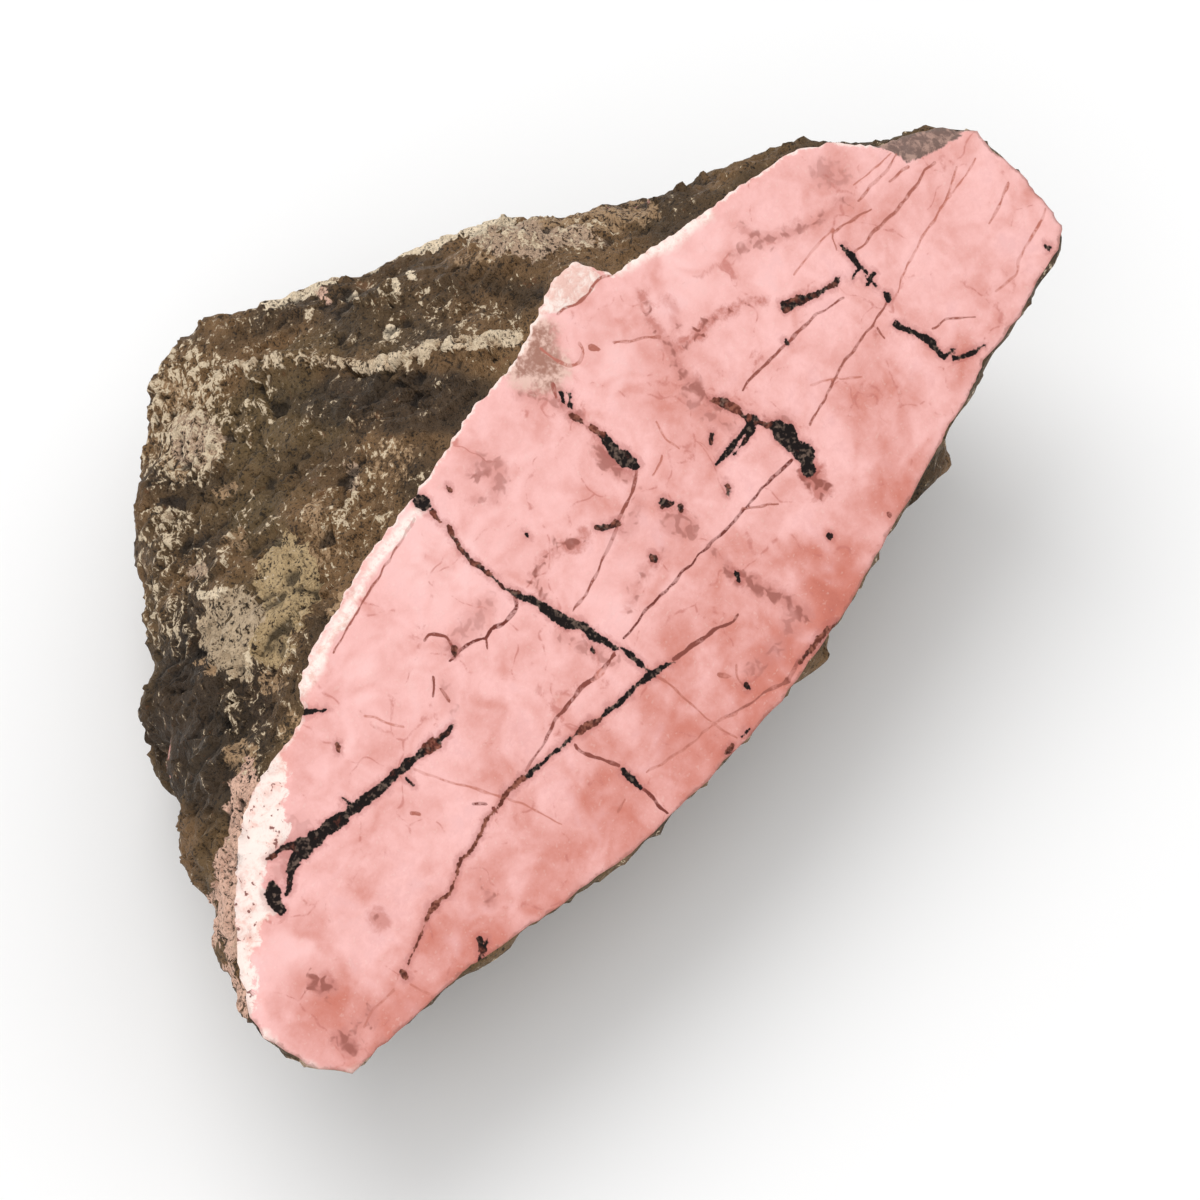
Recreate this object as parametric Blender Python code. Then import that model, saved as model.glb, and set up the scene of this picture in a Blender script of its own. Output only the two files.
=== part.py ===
"""Rough rhodonite: one broken stone with a single flat sawn face.

The stone lies on its rough underside. Its long axis runs along +X, and the sawn
face leans towards -Y and looks up. Everything else is broken rock: joint planes
meeting in blunt corners, with a ledge, chips, lumps and pits on them.

Sizes are in millimetres; the finished mesh is scaled to metres.
"""
from heapq import heapify, heappop, heappush
from itertools import count
from math import atan2, cos, exp, hypot, radians, sin, tau

import bmesh
import bpy
from mathutils import Matrix, Vector, noise

MM = 0.001

# ---- driving dimensions, in millimetres and degrees ----
FACE_CENTRE = Vector((0.0, 0.0, 25.0))      # middle of the sawn face above the floor
FACE_RISE = 5.0                             # climb of the long axis towards the far tip
FACE_ROLL = 32.0                            # tilt of the sawn face about the long axis
BOX_MIDDLE = Vector((4.61, 16.41, 0.0))     # middle of the stone's box, from under the face's

# Outline of the sawn face: along the long axis, then across it towards the crust.
NEAR_TIP = [(-39.4, -7.7), (-41.2, -4.8), (-41.9, -1.0), (-40.9, 0.9)]
CRUST_EDGE = [
    (-38.6, 3.8), (-35.8, 6.6), (-31.4, 9.6), (-26.8, 11.0), (-22.0, 11.2), (-21.2, 12.8),
    (-17.8, 13.9), (-13.6, 14.6), (-9.0, 15.3), (-4.4, 15.4), (4.8, 16.3), (9.6, 16.3),
    (15.8, 17.9), (18.6, 17.6), (19.6, 14.9), (28.2, 12.6), (33.7, 11.5), (37.3, 10.6),
    (39.2, 9.7), (40.9, 8.5), (42.3, 6.7), (43.9, 5.2), (47.3, 3.7), (48.9, 2.4),
]
FAR_TIP = [
    (50.5, 0.7), (50.1, -2.0), (50.7, -4.2), (50.3, -7.0), (49.7, -9.9), (48.4, -10.6),
]
LOW_EDGE = [
    (44.0, -11.1), (40.5, -11.7), (36.8, -11.5), (33.8, -12.1), (25.4, -13.4), (18.2, -14.4),
    (12.0, -15.3), (3.0, -15.5), (-4.4, -14.8), (-12.8, -13.7), (-20.8, -11.6), (-28.0, -9.5),
    (-35.4, -8.3),
]
SAWN_OUTLINE = NEAR_TIP + CRUST_EDGE + FAR_TIP + LOW_EDGE

# Blunt corners of the broken block: X and Y from under the face's middle, Z from the floor.
FLANK_FOOT = [
    (-35.0, 5.6, 17.0), (-28.6, 13.0, 14.0), (-19.7, 28.9, 10.0), (-10.7, 35.4, 10.0),
    (-2.5, 42.8, 11.0), (2.2, 44.8, 12.0), (8.0, 45.2, 14.0),
]
LEDGE_CREST = [(5.3, 33.3, 22.0), (6.1, 28.4, 25.5), (7.2, 22.5, 29.5), (8.9, 14.6, 33.9)]
BACK_CREST = [
    (10.2, 40.6, 18.0), (16.3, 35.2, 21.5), (23.3, 28.1, 25.0), (26.7, 22.7, 27.0),
    (33.4, 16.7, 29.0), (38.4, 11.4, 30.0), (48.4, 3.8, 28.0),
]
BACK_WAIST = [(14.5, 43.0, 8.0), (26.0, 35.5, 8.0), (34.0, 26.5, 12.0), (44.0, 13.5, 14.0)]
FAR_END = [(49.0, -6.9, 17.5), (40.5, -7.0, 15.0), (44.5, 1.0, 6.5)]
UNDERSIDE = [
    (-26.0, 10.0, 0.3), (-15.0, 0.5, 0.2), (4.0, -3.0, -0.5), (27.0, -2.0, 0.6),
    (39.0, 3.0, 2.5), (36.0, 15.0, 1.0), (29.0, 27.0, -0.3), (19.0, 37.0, 1.5),
    (4.0, 39.0, 0.3), (-9.0, 31.0, -0.5), (-19.0, 23.0, 0.6),
]
BLOCK_CORNERS = (
    FLANK_FOOT + LEDGE_CREST + BACK_CREST + BACK_WAIST + FAR_END + UNDERSIDE
)

BLANK_ABOVE_SAW = 4.0     # rock above the saw cut, removed by it
BLANK_TAPER = 0.94        # how much narrower the block is up there
LONGEST_EDGE = 2.55       # mesh fineness of the broken faces
FLAT_ANGLE = 0.01         # radians between two triangles of one flat face
FLAT_COSINE = 0.999       # the same for the faces round a vertex, as a cosine
EVEN_ROUNDS, EVEN_SHARE = 4, 0.6
CUT_SNAP = 0.3            # vertices this close to the saw cut are moved onto it
CUT_TOUCH = 0.001         # vertices this close lie in it
CUT_COSINE = 0.9999       # how squarely a triangle of the saw cut faces out
BASE_SNAP = 0.1           # vertices lower than this are pressed flat on the floor

# Broken surface
LUMP_SIZE, LUMP_HEIGHT = 15.0, 1.3
CHIP_SIZE, CHIP_TILT = 8.0, 0.30
CHIP_BLEND = 0.22         # width of the step between two chips, in chip sizes
CHIP_DRAW = 57.0          # picks a tilt for each chip
GRAIN_SIZE, GRAIN_HEIGHT = 3.2, 0.45
LEDGE_WIDTH, LEDGE_HEIGHT = 1.7, 1.3
WEAR = 0.4                # how far the sharpest points are worn towards their neighbours
RIM_REACH = 6.0           # depth below the saw cut over which the rim is fitted
RIM_RAGGED, RIM_RAGGED_SIZE = 0.22, 2.4
RIM_STEP = 0.5            # spacing of the outline's points when the rim is fitted

# Pits: place as in BLOCK_CORNERS, then radius and depth
PITS = [
    ((-3.0, 39.0, 15.0), 2.6, 1.1),
    ((-16.0, 24.5, 17.5), 3.4, 0.9),
    ((2.0, 35.5, 18.5), 2.4, 0.8),
    ((28.0, 33.0, 12.0), 4.5, 1.6),
    ((41.0, 14.0, 20.0), 3.5, 1.2),
    ((15.0, -9.0, 8.0), 5.0, 1.5),
    ((-22.0, -4.0, 9.0), 4.0, 1.3),
]

CRUST_COLOUR = (0.115, 0.088, 0.060, 1.0)
PINK_COLOUR = (0.840, 0.400, 0.360, 1.0)


# ---- frame of the sawn face ----
def face_axes():
    """Unit vectors along the face, across it, and out of it."""
    rise, roll = radians(FACE_RISE), radians(FACE_ROLL)
    along = Vector((cos(rise), 0.0, sin(rise)))
    level_out = Vector((0.0, -sin(roll), cos(roll)))
    across = level_out.cross(along).normalized()
    return along, across, along.cross(across)


ALONG, ACROSS, OUT = face_axes()


def from_face(u, v, height=0.0):
    """Point at (u, v) on the sawn face, lifted out of it by height."""
    return FACE_CENTRE + ALONG * u + ACROSS * v + OUT * height


def to_face(point):
    """Coordinates of a point along, across and out of the sawn face."""
    offset = point - FACE_CENTRE
    return offset.dot(ALONG), offset.dot(ACROSS), offset.dot(OUT)


# ---- the block and its mesh ----
def make_block():
    """Convex block through the sawn outline and the listed corners."""
    block = bmesh.new()
    for u, v in SAWN_OUTLINE:
        block.verts.new(from_face(u, v))
        block.verts.new(from_face(u * BLANK_TAPER, v * BLANK_TAPER, BLANK_ABOVE_SAW))
    for corner in BLOCK_CORNERS:
        block.verts.new(corner)
    hull = bmesh.ops.convex_hull(block, input=block.verts)
    buried = {item for item in hull["geom_interior"] + hull["geom_unused"]
              if isinstance(item, bmesh.types.BMVert)}
    bmesh.ops.delete(block, geom=list(buried), context="VERTS")
    return block


def split_edge(block, edge):
    """Halve an edge, and join its middle to the far corner of each triangle on it."""
    triangles = list(edge.link_faces)
    middle = bmesh.utils.edge_split(edge, edge.verts[0], 0.5)[1]
    fresh = list(middle.link_edges)
    for triangle in triangles:
        near = {other.other_vert(middle) for other in middle.link_edges}
        far = next(vert for vert in triangle.verts if vert is not middle and vert not in near)
        bmesh.utils.face_split(triangle, middle, far)
    return set(fresh + list(middle.link_edges))


def refine(block, longest):
    """Split the longest edge first, until none is longer than the given length."""
    order = count()
    queue = [(-edge.calc_length(), next(order), edge) for edge in block.edges]
    heapify(queue)
    while -queue[0][0] > longest:
        edge = heappop(queue)[2]
        for part in split_edge(block, edge):
            heappush(queue, (-part.calc_length(), next(order), part))


def flip_flat_edges(block):
    """Turn edges inside the flat faces where that makes better triangles."""
    block.normal_update()
    flat = [edge for edge in block.edges if edge.calc_face_angle(1.0) < FLAT_ANGLE]
    bmesh.ops.beautify_fill(block, faces=block.faces, edges=flat, method="ANGLE")


def even_out(block):
    """Slide vertices towards their neighbours' middle without leaving the surface."""
    for _ in range(EVEN_ROUNDS):
        targets = {}
        for vert in block.verts:
            middle = sum((edge.other_vert(vert).co for edge in vert.link_edges), Vector())
            step = middle / len(vert.link_edges) - vert.co
            normals = [face.normal for face in vert.link_faces]
            flatness = min(normals[0].dot(normal) for normal in normals)
            if flatness > FLAT_COSINE:
                step -= normals[0] * step.dot(normals[0])
                targets[vert] = vert.co + step * EVEN_SHARE
        for vert, target in targets.items():
            vert.co = target
        block.normal_update()


# ---- relief of the broken surface ----
def distance_to_path(point, path):
    """Shortest distance from a point to a line of points."""
    best = 1e9
    for start, end in zip(path, path[1:]):
        run = end - start
        share = max(0.0, min(1.0, (point - start).dot(run) / run.length_squared))
        best = min(best, (start + run * share - point).length)
    return best


def chip_height(point):
    """Flat chips: each cell of rock breaks along its own tilted plane."""
    cell = point / CHIP_SIZE
    distances, centres = noise.voronoi(cell)
    inner, outer = (
        CHIP_TILT * CHIP_SIZE * (cell - centre).dot(noise.cell_vector(centre * CHIP_DRAW))
        for centre in centres[:2]
    )
    share = 0.5 + 0.5 * min(1.0, (distances[1] - distances[0]) / CHIP_BLEND)
    return inner * share + outer * (1.0 - share)


def broken_relief(point, ledge):
    """Height of the broken surface over the smooth block at a point."""
    height = LUMP_HEIGHT * noise.noise(point / LUMP_SIZE)
    height += chip_height(point)
    height += GRAIN_HEIGHT * noise.noise(point / GRAIN_SIZE)
    height += LEDGE_HEIGHT * exp(-(distance_to_path(point, ledge) / LEDGE_WIDTH) ** 2)
    for place, radius, depth in PITS:
        height -= depth * exp(-((Vector(place) - point).length / radius) ** 2)
    return height


def roughen(block):
    """Move every vertex along its normal to the broken surface."""
    ledge = [Vector(corner) for corner in LEDGE_CREST]
    moved = {vert: vert.co + vert.normal * broken_relief(vert.co, ledge) for vert in block.verts}
    for vert, target in moved.items():
        vert.co = target
    bmesh.ops.smooth_vert(block, verts=block.verts, factor=WEAR, use_axis_x=True,
                          use_axis_y=True, use_axis_z=True)


# ---- cuts ----
def cut_flat(block, place, outward):
    """Cut the block off flat on the outward side of a plane, and return the open rim."""
    for vert in block.verts:
        gap = (vert.co - place).dot(outward)
        if abs(gap) < CUT_SNAP:
            vert.co -= outward * gap
    geometry = block.verts[:] + block.edges[:] + block.faces[:]
    bmesh.ops.bisect_plane(block, geom=geometry, dist=CUT_TOUCH / 10, plane_co=place,
                           plane_no=outward, clear_outer=True)
    in_plane = [face for face in block.faces
                if all(abs((vert.co - place).dot(outward)) < CUT_TOUCH for vert in face.verts)]
    bmesh.ops.delete(block, geom=in_plane, context="FACES")
    loose = [edge for edge in block.edges if not edge.link_faces]
    bmesh.ops.delete(block, geom=loose, context="EDGES")
    bmesh.ops.triangulate(block, faces=[face for face in block.faces if len(face.verts) > 3])
    return [edge for edge in block.edges if edge.is_boundary]


def level_base(block):
    """Press the lowest rock flat on the floor, which leaves several flat patches."""
    for vert in block.verts:
        if vert.co.z < BASE_SNAP:
            vert.co.z = 0.0


def radius_at(angle, loop):
    """Radius of a closed loop of (angle, radius) pairs, sorted by angle."""
    for (before, inner), (after, outer) in zip(loop, loop[1:] + [(loop[0][0] + tau, loop[0][1])]):
        if before <= angle <= after:
            share = (angle - before) / max(after - before, 1e-9)
            return inner + (outer - inner) * share
    return loop[-1][1]


def polar_loop(points):
    """Points of a closed loop as (angle, radius) about the middle of the face."""
    return sorted((atan2(v, u) % tau, hypot(u, v)) for u, v in points)


def dense_outline():
    """The outline with closely spaced points, as (angle, radius)."""
    points = []
    for (u0, v0), (u1, v1) in zip(SAWN_OUTLINE, SAWN_OUTLINE[1:] + SAWN_OUTLINE[:1]):
        steps = max(1, int(hypot(u1 - u0, v1 - v0) / RIM_STEP))
        points += [(u0 + (u1 - u0) * i / steps, v0 + (v1 - v0) * i / steps) for i in range(steps)]
    return polar_loop(points)


def fit_rim(block, rim):
    """Draw the rock near the saw cut in or out until its rim follows the outline."""
    corners = {vert for edge in rim for vert in edge.verts}
    found = polar_loop([to_face(vert.co)[:2] for vert in corners])
    wanted = dense_outline()
    for vert in block.verts:
        u, v, height = to_face(vert.co)
        angle = atan2(v, u) % tau
        ragged = RIM_RAGGED * noise.noise(from_face(u, v) / RIM_RAGGED_SIZE)
        stretch = (radius_at(angle, wanted) + ragged) / radius_at(angle, found) - 1.0
        stretch *= exp(height / RIM_REACH)
        vert.co = from_face(u * (1.0 + stretch), v * (1.0 + stretch), height)


# ---- materials and object ----
def make_material(name, colour, roughness):
    material = bpy.data.materials.new(name)
    material.use_nodes = True
    shader = material.node_tree.nodes["Principled BSDF"]
    shader.inputs["Base Color"].default_value = colour
    shader.inputs["Roughness"].default_value = roughness
    shader.inputs["Metallic"].default_value = 0.0
    return material


def make_stone():
    """The whole stone as one closed body."""
    block = make_block()
    refine(block, LONGEST_EDGE)
    flip_flat_edges(block)
    even_out(block)
    roughen(block)
    rim = cut_flat(block, FACE_CENTRE, OUT)
    fit_rim(block, rim)
    bmesh.ops.triangle_fill(block, use_beauty=True, edges=rim, normal=OUT)
    level_base(block)
    bmesh.ops.recalc_face_normals(block, faces=block.faces)

    mesh = bpy.data.meshes.new("rhodonite_stone")
    mesh.materials.append(make_material("crust", CRUST_COLOUR, 0.75))
    mesh.materials.append(make_material("sawn_rhodonite", PINK_COLOUR, 0.45))
    for face in block.faces:
        in_plane = abs(to_face(face.verts[0].co)[2]) < CUT_TOUCH
        face.material_index = 1 if in_plane and face.normal.dot(OUT) > CUT_COSINE else 0
    to_metres = Matrix.Scale(MM, 4) @ Matrix.Translation(-BOX_MIDDLE)
    bmesh.ops.transform(block, matrix=to_metres, verts=block.verts)
    block.to_mesh(mesh)
    block.free()
    stone = bpy.data.objects.new("rhodonite_stone", mesh)
    bpy.context.scene.collection.objects.link(stone)
    return stone


def main():
    for thing in list(bpy.data.objects):
        bpy.data.objects.remove(thing, do_unlink=True)
    make_stone()


main()
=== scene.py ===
"""Rough rhodonite on a pale floor: the finish of one broken stone with a flat sawn face.

The stone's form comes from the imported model. Here its broken crust is made finer and its
sawn face is filled again with a mesh that follows the veins. Lengths are in millimetres
and turned into metres where an object is made. What the photograph shows on the stone is
written in the photograph's pixels, and laid on the stone along the camera's sight lines.
"""

from itertools import product
from math import cos, radians, sin

import bpy
import numpy as np
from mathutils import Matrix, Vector
from mathutils.geometry import delaunay_2d_cdt


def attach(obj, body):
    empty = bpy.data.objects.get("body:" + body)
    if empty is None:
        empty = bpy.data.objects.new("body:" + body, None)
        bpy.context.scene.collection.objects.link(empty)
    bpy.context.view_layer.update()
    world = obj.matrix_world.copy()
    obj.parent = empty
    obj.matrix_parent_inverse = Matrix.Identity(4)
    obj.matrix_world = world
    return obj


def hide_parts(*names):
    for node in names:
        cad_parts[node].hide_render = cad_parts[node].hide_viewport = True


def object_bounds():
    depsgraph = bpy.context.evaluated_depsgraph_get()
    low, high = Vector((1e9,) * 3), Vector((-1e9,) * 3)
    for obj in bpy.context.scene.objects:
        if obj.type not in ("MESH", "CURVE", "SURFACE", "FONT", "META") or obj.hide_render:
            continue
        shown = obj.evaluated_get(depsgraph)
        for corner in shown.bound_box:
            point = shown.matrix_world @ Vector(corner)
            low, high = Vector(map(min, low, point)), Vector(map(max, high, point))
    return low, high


MM = 0.001
NODE = "rhodonite_stone"


def direction(azimuth, elevation):
    """Unit vector from the stone towards a viewer or light; azimuth 0 stands on -Y."""
    azimuth, elevation = radians(azimuth), radians(elevation)
    return np.array((sin(azimuth) * cos(elevation), -cos(azimuth) * cos(elevation), sin(elevation)))


def unit(vector):
    return vector / np.linalg.norm(vector)


# ---- the sawn face, as the part has it ----
FACE_CENTRE = np.array((-4.61, -16.41, 25.0))
FACE_RISE, FACE_ROLL = radians(5.0), radians(32.0)
ALONG = np.array((cos(FACE_RISE), 0.0, sin(FACE_RISE)))
ACROSS = unit(np.cross((0.0, -sin(FACE_ROLL), cos(FACE_ROLL)), ALONG))
OUT = np.cross(ALONG, ACROSS)
FACE_FRAME = np.array((ALONG, ACROSS, OUT))

# ---- camera: the photograph's angle, the stone filling most of the frame ----
CAMERA_AZIMUTH, CAMERA_ELEVATION = -54.4, 55.0
TO_CAMERA = direction(CAMERA_AZIMUTH, CAMERA_ELEVATION)
CAMERA_DISTANCE = 360.0
CAMERA = FACE_CENTRE + TO_CAMERA * CAMERA_DISTANCE
UP = np.array((0.0, 0.0, 1.0))
CAMERA_RIGHT = unit(np.cross(-TO_CAMERA, UP))
CAMERA_UP = np.cross(CAMERA_RIGHT, -TO_CAMERA)
FRAME_WIDTH = 87.5
SENSOR_WIDTH = 36.0
PIXEL = 0.175                               # one pixel of the photograph, at the face
FACE_CENTRE_PIXEL = np.array((737.0, 374.0))

# ---- mesh fineness ----
WELD = 1e-4                                 # points closer than this are one
FACE_SPACING = 0.44                         # of the even grid between the veins
FACE_JITTER = 0.12                          # of a grid point, in grid spacings
VEIN_SPACING = 0.26                         # along a vein
VEIN_CLEARANCE, VEIN_POINT_CLEARANCE = 0.24, 0.09
RIM_CLEARANCE = 0.24
VEIN_MARGIN = 0.14                          # from a vein's edge to the row of points beside it
VEIN_REACH = 2.0                            # how far from a vein its distance is still kept
VEIN_WANDER, WANDER_SIZE = 0.13, 1.1        # how far veins stray from their drawn course
WIDTH_CHANGE, WIDTH_CHANGE_SIZE = 0.45, 0.8
# The crust is cut finer once all over, again where it looks up at least this much, and
# again where it looks at the camera at least this much (as cosines).
LOOKS_UP, LOOKS_AT_CAMERA = -0.2, 0.45
RELAX_SHARE = 0.45


# ================================================================ places
def to_face(points):
    """Coordinates along, across and out of the sawn face."""
    return (points - FACE_CENTRE) @ FACE_FRAME.T


def from_face(coordinates):
    """Points in the stone's frame from coordinates on the sawn face."""
    return coordinates @ FACE_FRAME + FACE_CENTRE


def seen_on_face(pixels):
    """Places on the sawn face that the photograph shows at its pixels."""
    offset = (np.array(pixels, dtype=float) - FACE_CENTRE_PIXEL) * PIXEL / CAMERA_DISTANCE
    rays = -TO_CAMERA + offset[:, :1] * CAMERA_RIGHT - offset[:, 1:] * CAMERA_UP
    reach = ((FACE_CENTRE - CAMERA) @ OUT) / (rays @ OUT)
    return to_face(CAMERA + rays * reach[:, None])[:, :2]


def pixel_of(points):
    """The photograph's pixel at which each point is seen."""
    sight = points - CAMERA
    scale = CAMERA_DISTANCE / PIXEL / (sight @ -TO_CAMERA)
    offset = np.stack((sight @ CAMERA_RIGHT * scale, -(sight @ CAMERA_UP) * scale), axis=1)
    return FACE_CENTRE_PIXEL + offset


# ================================================================ what the face shows
# Each vein: the pixels it runs through, its widths in pixels from its first to its last
# point, and how dark it is.
INK_VEINS = [
    ([(663, 332.6), (664.2, 333.4)], (6.4,), 1),
    ([(667.2, 337.2), (670.9, 341.6)], (2.5, 1.4), 0.55),
    ([(673.6, 343.4), (677.4, 349.6), (681.7, 356), (687.5, 360.4), (692.6, 364.8),
      (699, 369.9), (703.5, 371.6)], (1.5, 1.8, 2.2, 2, 1.8, 2.2, 2.6), 0.7),
    ([(702.5, 371.6), (710.7, 374.9), (716.5, 379.3), (721.6, 382.2), (728.8, 385),
      (735.4, 389.4), (743.5, 393.4)], (2.6, 3.8, 4.6, 5.6, 3.6, 4.4, 2.4), 1),
    ([(746.4, 394), (752, 398.8), (757.8, 403.9), (759.4, 405.4)], (1.8, 2.4, 2.2, 2), 1),
    ([(758.2, 404.8), (752, 410.4), (747, 414.8), (739.7, 421.3)], (2.4, 2, 2.2, 1.8), 1),
    ([(737.6, 423), (734.6, 425), (728.8, 428.6), (726, 431)], (1.4, 2.6, 2.6, 1.2), 0.6),
    ([(725.4, 431.6), (715, 440.1), (706.4, 447.4)], (1.7, 1.3, 2.2), 0.95),
    ([(705.6, 448), (699, 453.2), (695.5, 459), (692.6, 462.6), (689, 468.4),
      (685, 476), (680, 482), (677, 490), (674, 496), (668, 501),
      (663, 512), (657, 526)],
     (1.9, 1.9, 1.5, 1.8, 1.3, 1.2, 1.5, 1.1, 2.6, 0.9, 0.8, 0.7), 0.45),
    ([(654.6, 529.4), (655.4, 531)], (3.6,), 0.5),
    ([(760.4, 404), (764.6, 401.2), (768, 399.6)], (2.6, 2.4, 1.6), 0.95),
    ([(676, 426), (673, 429.4), (670, 433)], (1.2, 1.8, 3.6), 0.85),
    ([(669, 433.6), (665, 436.4)], (4.8, 4.2), 0.6),
    ([(664.6, 436.6), (655, 444), (645, 453), (637, 459), (629, 465),
      (620, 472), (613.4, 477)], (2.8, 3.2, 3.8, 4.4, 5.2, 6, 7.4), 0.9),
    ([(612.6, 474.4), (605, 477.4), (598, 482)], (3.4, 2.4, 1.3), 0.75),
    ([(612.6, 478), (609.5, 484), (608, 491), (606.6, 496)], (6.4, 4.6, 3.2, 1.4), 0.85),
    ([(600.3, 493), (601, 498), (604, 502.6)], (5, 6.8, 4), 0.95),
    ([(630, 456.5), (634, 459.6)], (1.2, 1.4), 0.8),
    ([(657, 448.5), (659, 451)], (1.2, 0.7), 0.8),
    ([(720.8, 287.4), (721.4, 291.4)], (1.6, 1.4), 0.9),
    ([(723.9, 288.4), (724.8, 293)], (2.4, 2), 0.85),
    ([(725.4, 296.8), (729.4, 299.6)], (3, 2.4), 0.6),
    ([(733.4, 302.4), (738, 304.8)], (2.6, 2.4), 0.55),
    ([(739.4, 307.2), (744.3, 313), (751.4, 317.6)], (4.4, 7, 6), 0.9),
    ([(811.8, 303), (815.4, 306.4)], (8.8, 10), 1),
    ([(822.6, 313), (823.8, 320)], (9, 7.4), 1),
    ([(817, 310.2), (821, 312.4)], (4.6, 4.8), 0.8),
    ([(784, 290.6), (788.4, 291.6), (793.4, 294.2)], (3, 5.2, 3), 0.62),
    ([(796.6, 297.2), (800.2, 299), (804, 300.4), (808, 301.4)], (2.6, 3.4, 2, 2.6), 0.68),
    ([(801.8, 298.6), (797, 304.3), (792.9, 309.3), (785.7, 317.9)], (3, 2.6, 2.2, 1), 1),
    ([(801.8, 302.4), (797, 308.6), (792.6, 313.4)], (1.7, 1.6, 0.9), 0.85),
    ([(783.9, 304.6), (783.3, 308.4)], (2, 1.6), 0.8),
    ([(790.4, 326.2), (791, 329.8)], (2.6, 2.2), 0.65),
    ([(837.5, 226), (840.7, 230), (843.6, 232.9), (847.4, 236.7)], (1.5, 2.3, 2.4, 1.6), 1),
    ([(842.3, 240.2), (845.2, 234.4)], (1.2, 1.6), 1),
    ([(848.4, 242.6), (851.7, 237.8)], (1.2, 1.5), 1),
    ([(848.4, 239.4), (852.6, 243.4)], (1, 1.2), 0.9),
    ([(856.6, 247), (857.6, 248.2)], (3,), 0.95),
    ([(859.6, 258.8), (864.3, 260.7), (870, 263.6), (874.3, 266.4), (879.4, 271.4)],
     (2.2, 3, 2.8, 3.4, 2.2), 1),
    ([(880.4, 273.4), (884.8, 269.2)], (1.4, 1.4), 1),
    ([(884.6, 269.4), (884.4, 274.2)], (1.4, 1), 1),
    ([(885.4, 273.2), (891.4, 271.4), (897.4, 268)], (1.7, 1.7, 1.4), 0.95),
    ([(836.4, 240), (831, 244.5), (824, 247.5), (820, 249), (814.6, 251.8)],
     (2.6, 2.2, 2.4, 4, 5.4), 0.75),
    ([(746.6, 444.2), (749.9, 448), (753.9, 452.2)], (2.2, 3, 2.2), 1),
    ([(614.6, 421.2), (618.6, 420.2), (623.4, 419.4)], (2.2, 1.8, 1), 1),
    ([(676.3, 394.2), (676.3, 396.6)], (2.2,), 0.7),
    ([(763.6, 333.4), (766.6, 333.9)], (3.8, 3.4), 0.8),
    ([(770.5, 335), (771, 336.4)], (2.4,), 0.7),
    ([(759, 356.4), (759.8, 357.2)], (3.2,), 0.75),
    ([(793.6, 362.6), (794.5, 365.6)], (2.6, 2.2), 0.85),
    ([(735.4, 343.8), (740, 343.4), (744.8, 342.3)], (2.4, 3, 2.4), 0.7),
    ([(733.6, 394.8), (734.2, 395.6)], (2,), 0.8),
    ([(687, 515), (688, 520)], (2.6, 2.2), 0.8),
    ([(689.6, 516.4), (689, 521)], (1.4, 1.2), 0.8),
    ([(687, 524.6), (687.2, 526)], (1.6,), 0.8),
    ([(832, 347), (832.7, 347.7)], (2.4,), 0.8),
    ([(798, 409.4), (798.8, 410)], (2.8,), 0.8),
    ([(814.6, 266), (815.4, 266.8)], (2.4,), 0.75),
    ([(706.5, 346.2), (707.1, 347)], (1.8,), 0.8),
    ([(923.2, 226.6), (924, 227.4)], (2,), 0.8),
    ([(796.6, 431), (800, 427.7)], (1.4, 1.2), 0.8),
    ([(674.1, 327.6), (674.7, 328.4)], (2.2,), 0.6),
    ([(627.6, 433.6), (628.6, 437.4)], (1.6, 1), 0.7),
    ([(836.6, 383.4), (831, 388), (825, 394), (820.4, 399.6)], (2, 2.6, 2.2, 1.4), 0.55),
    ([(789.6, 437.4), (792.6, 434.6)], (2.6, 2), 0.6),
]
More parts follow.
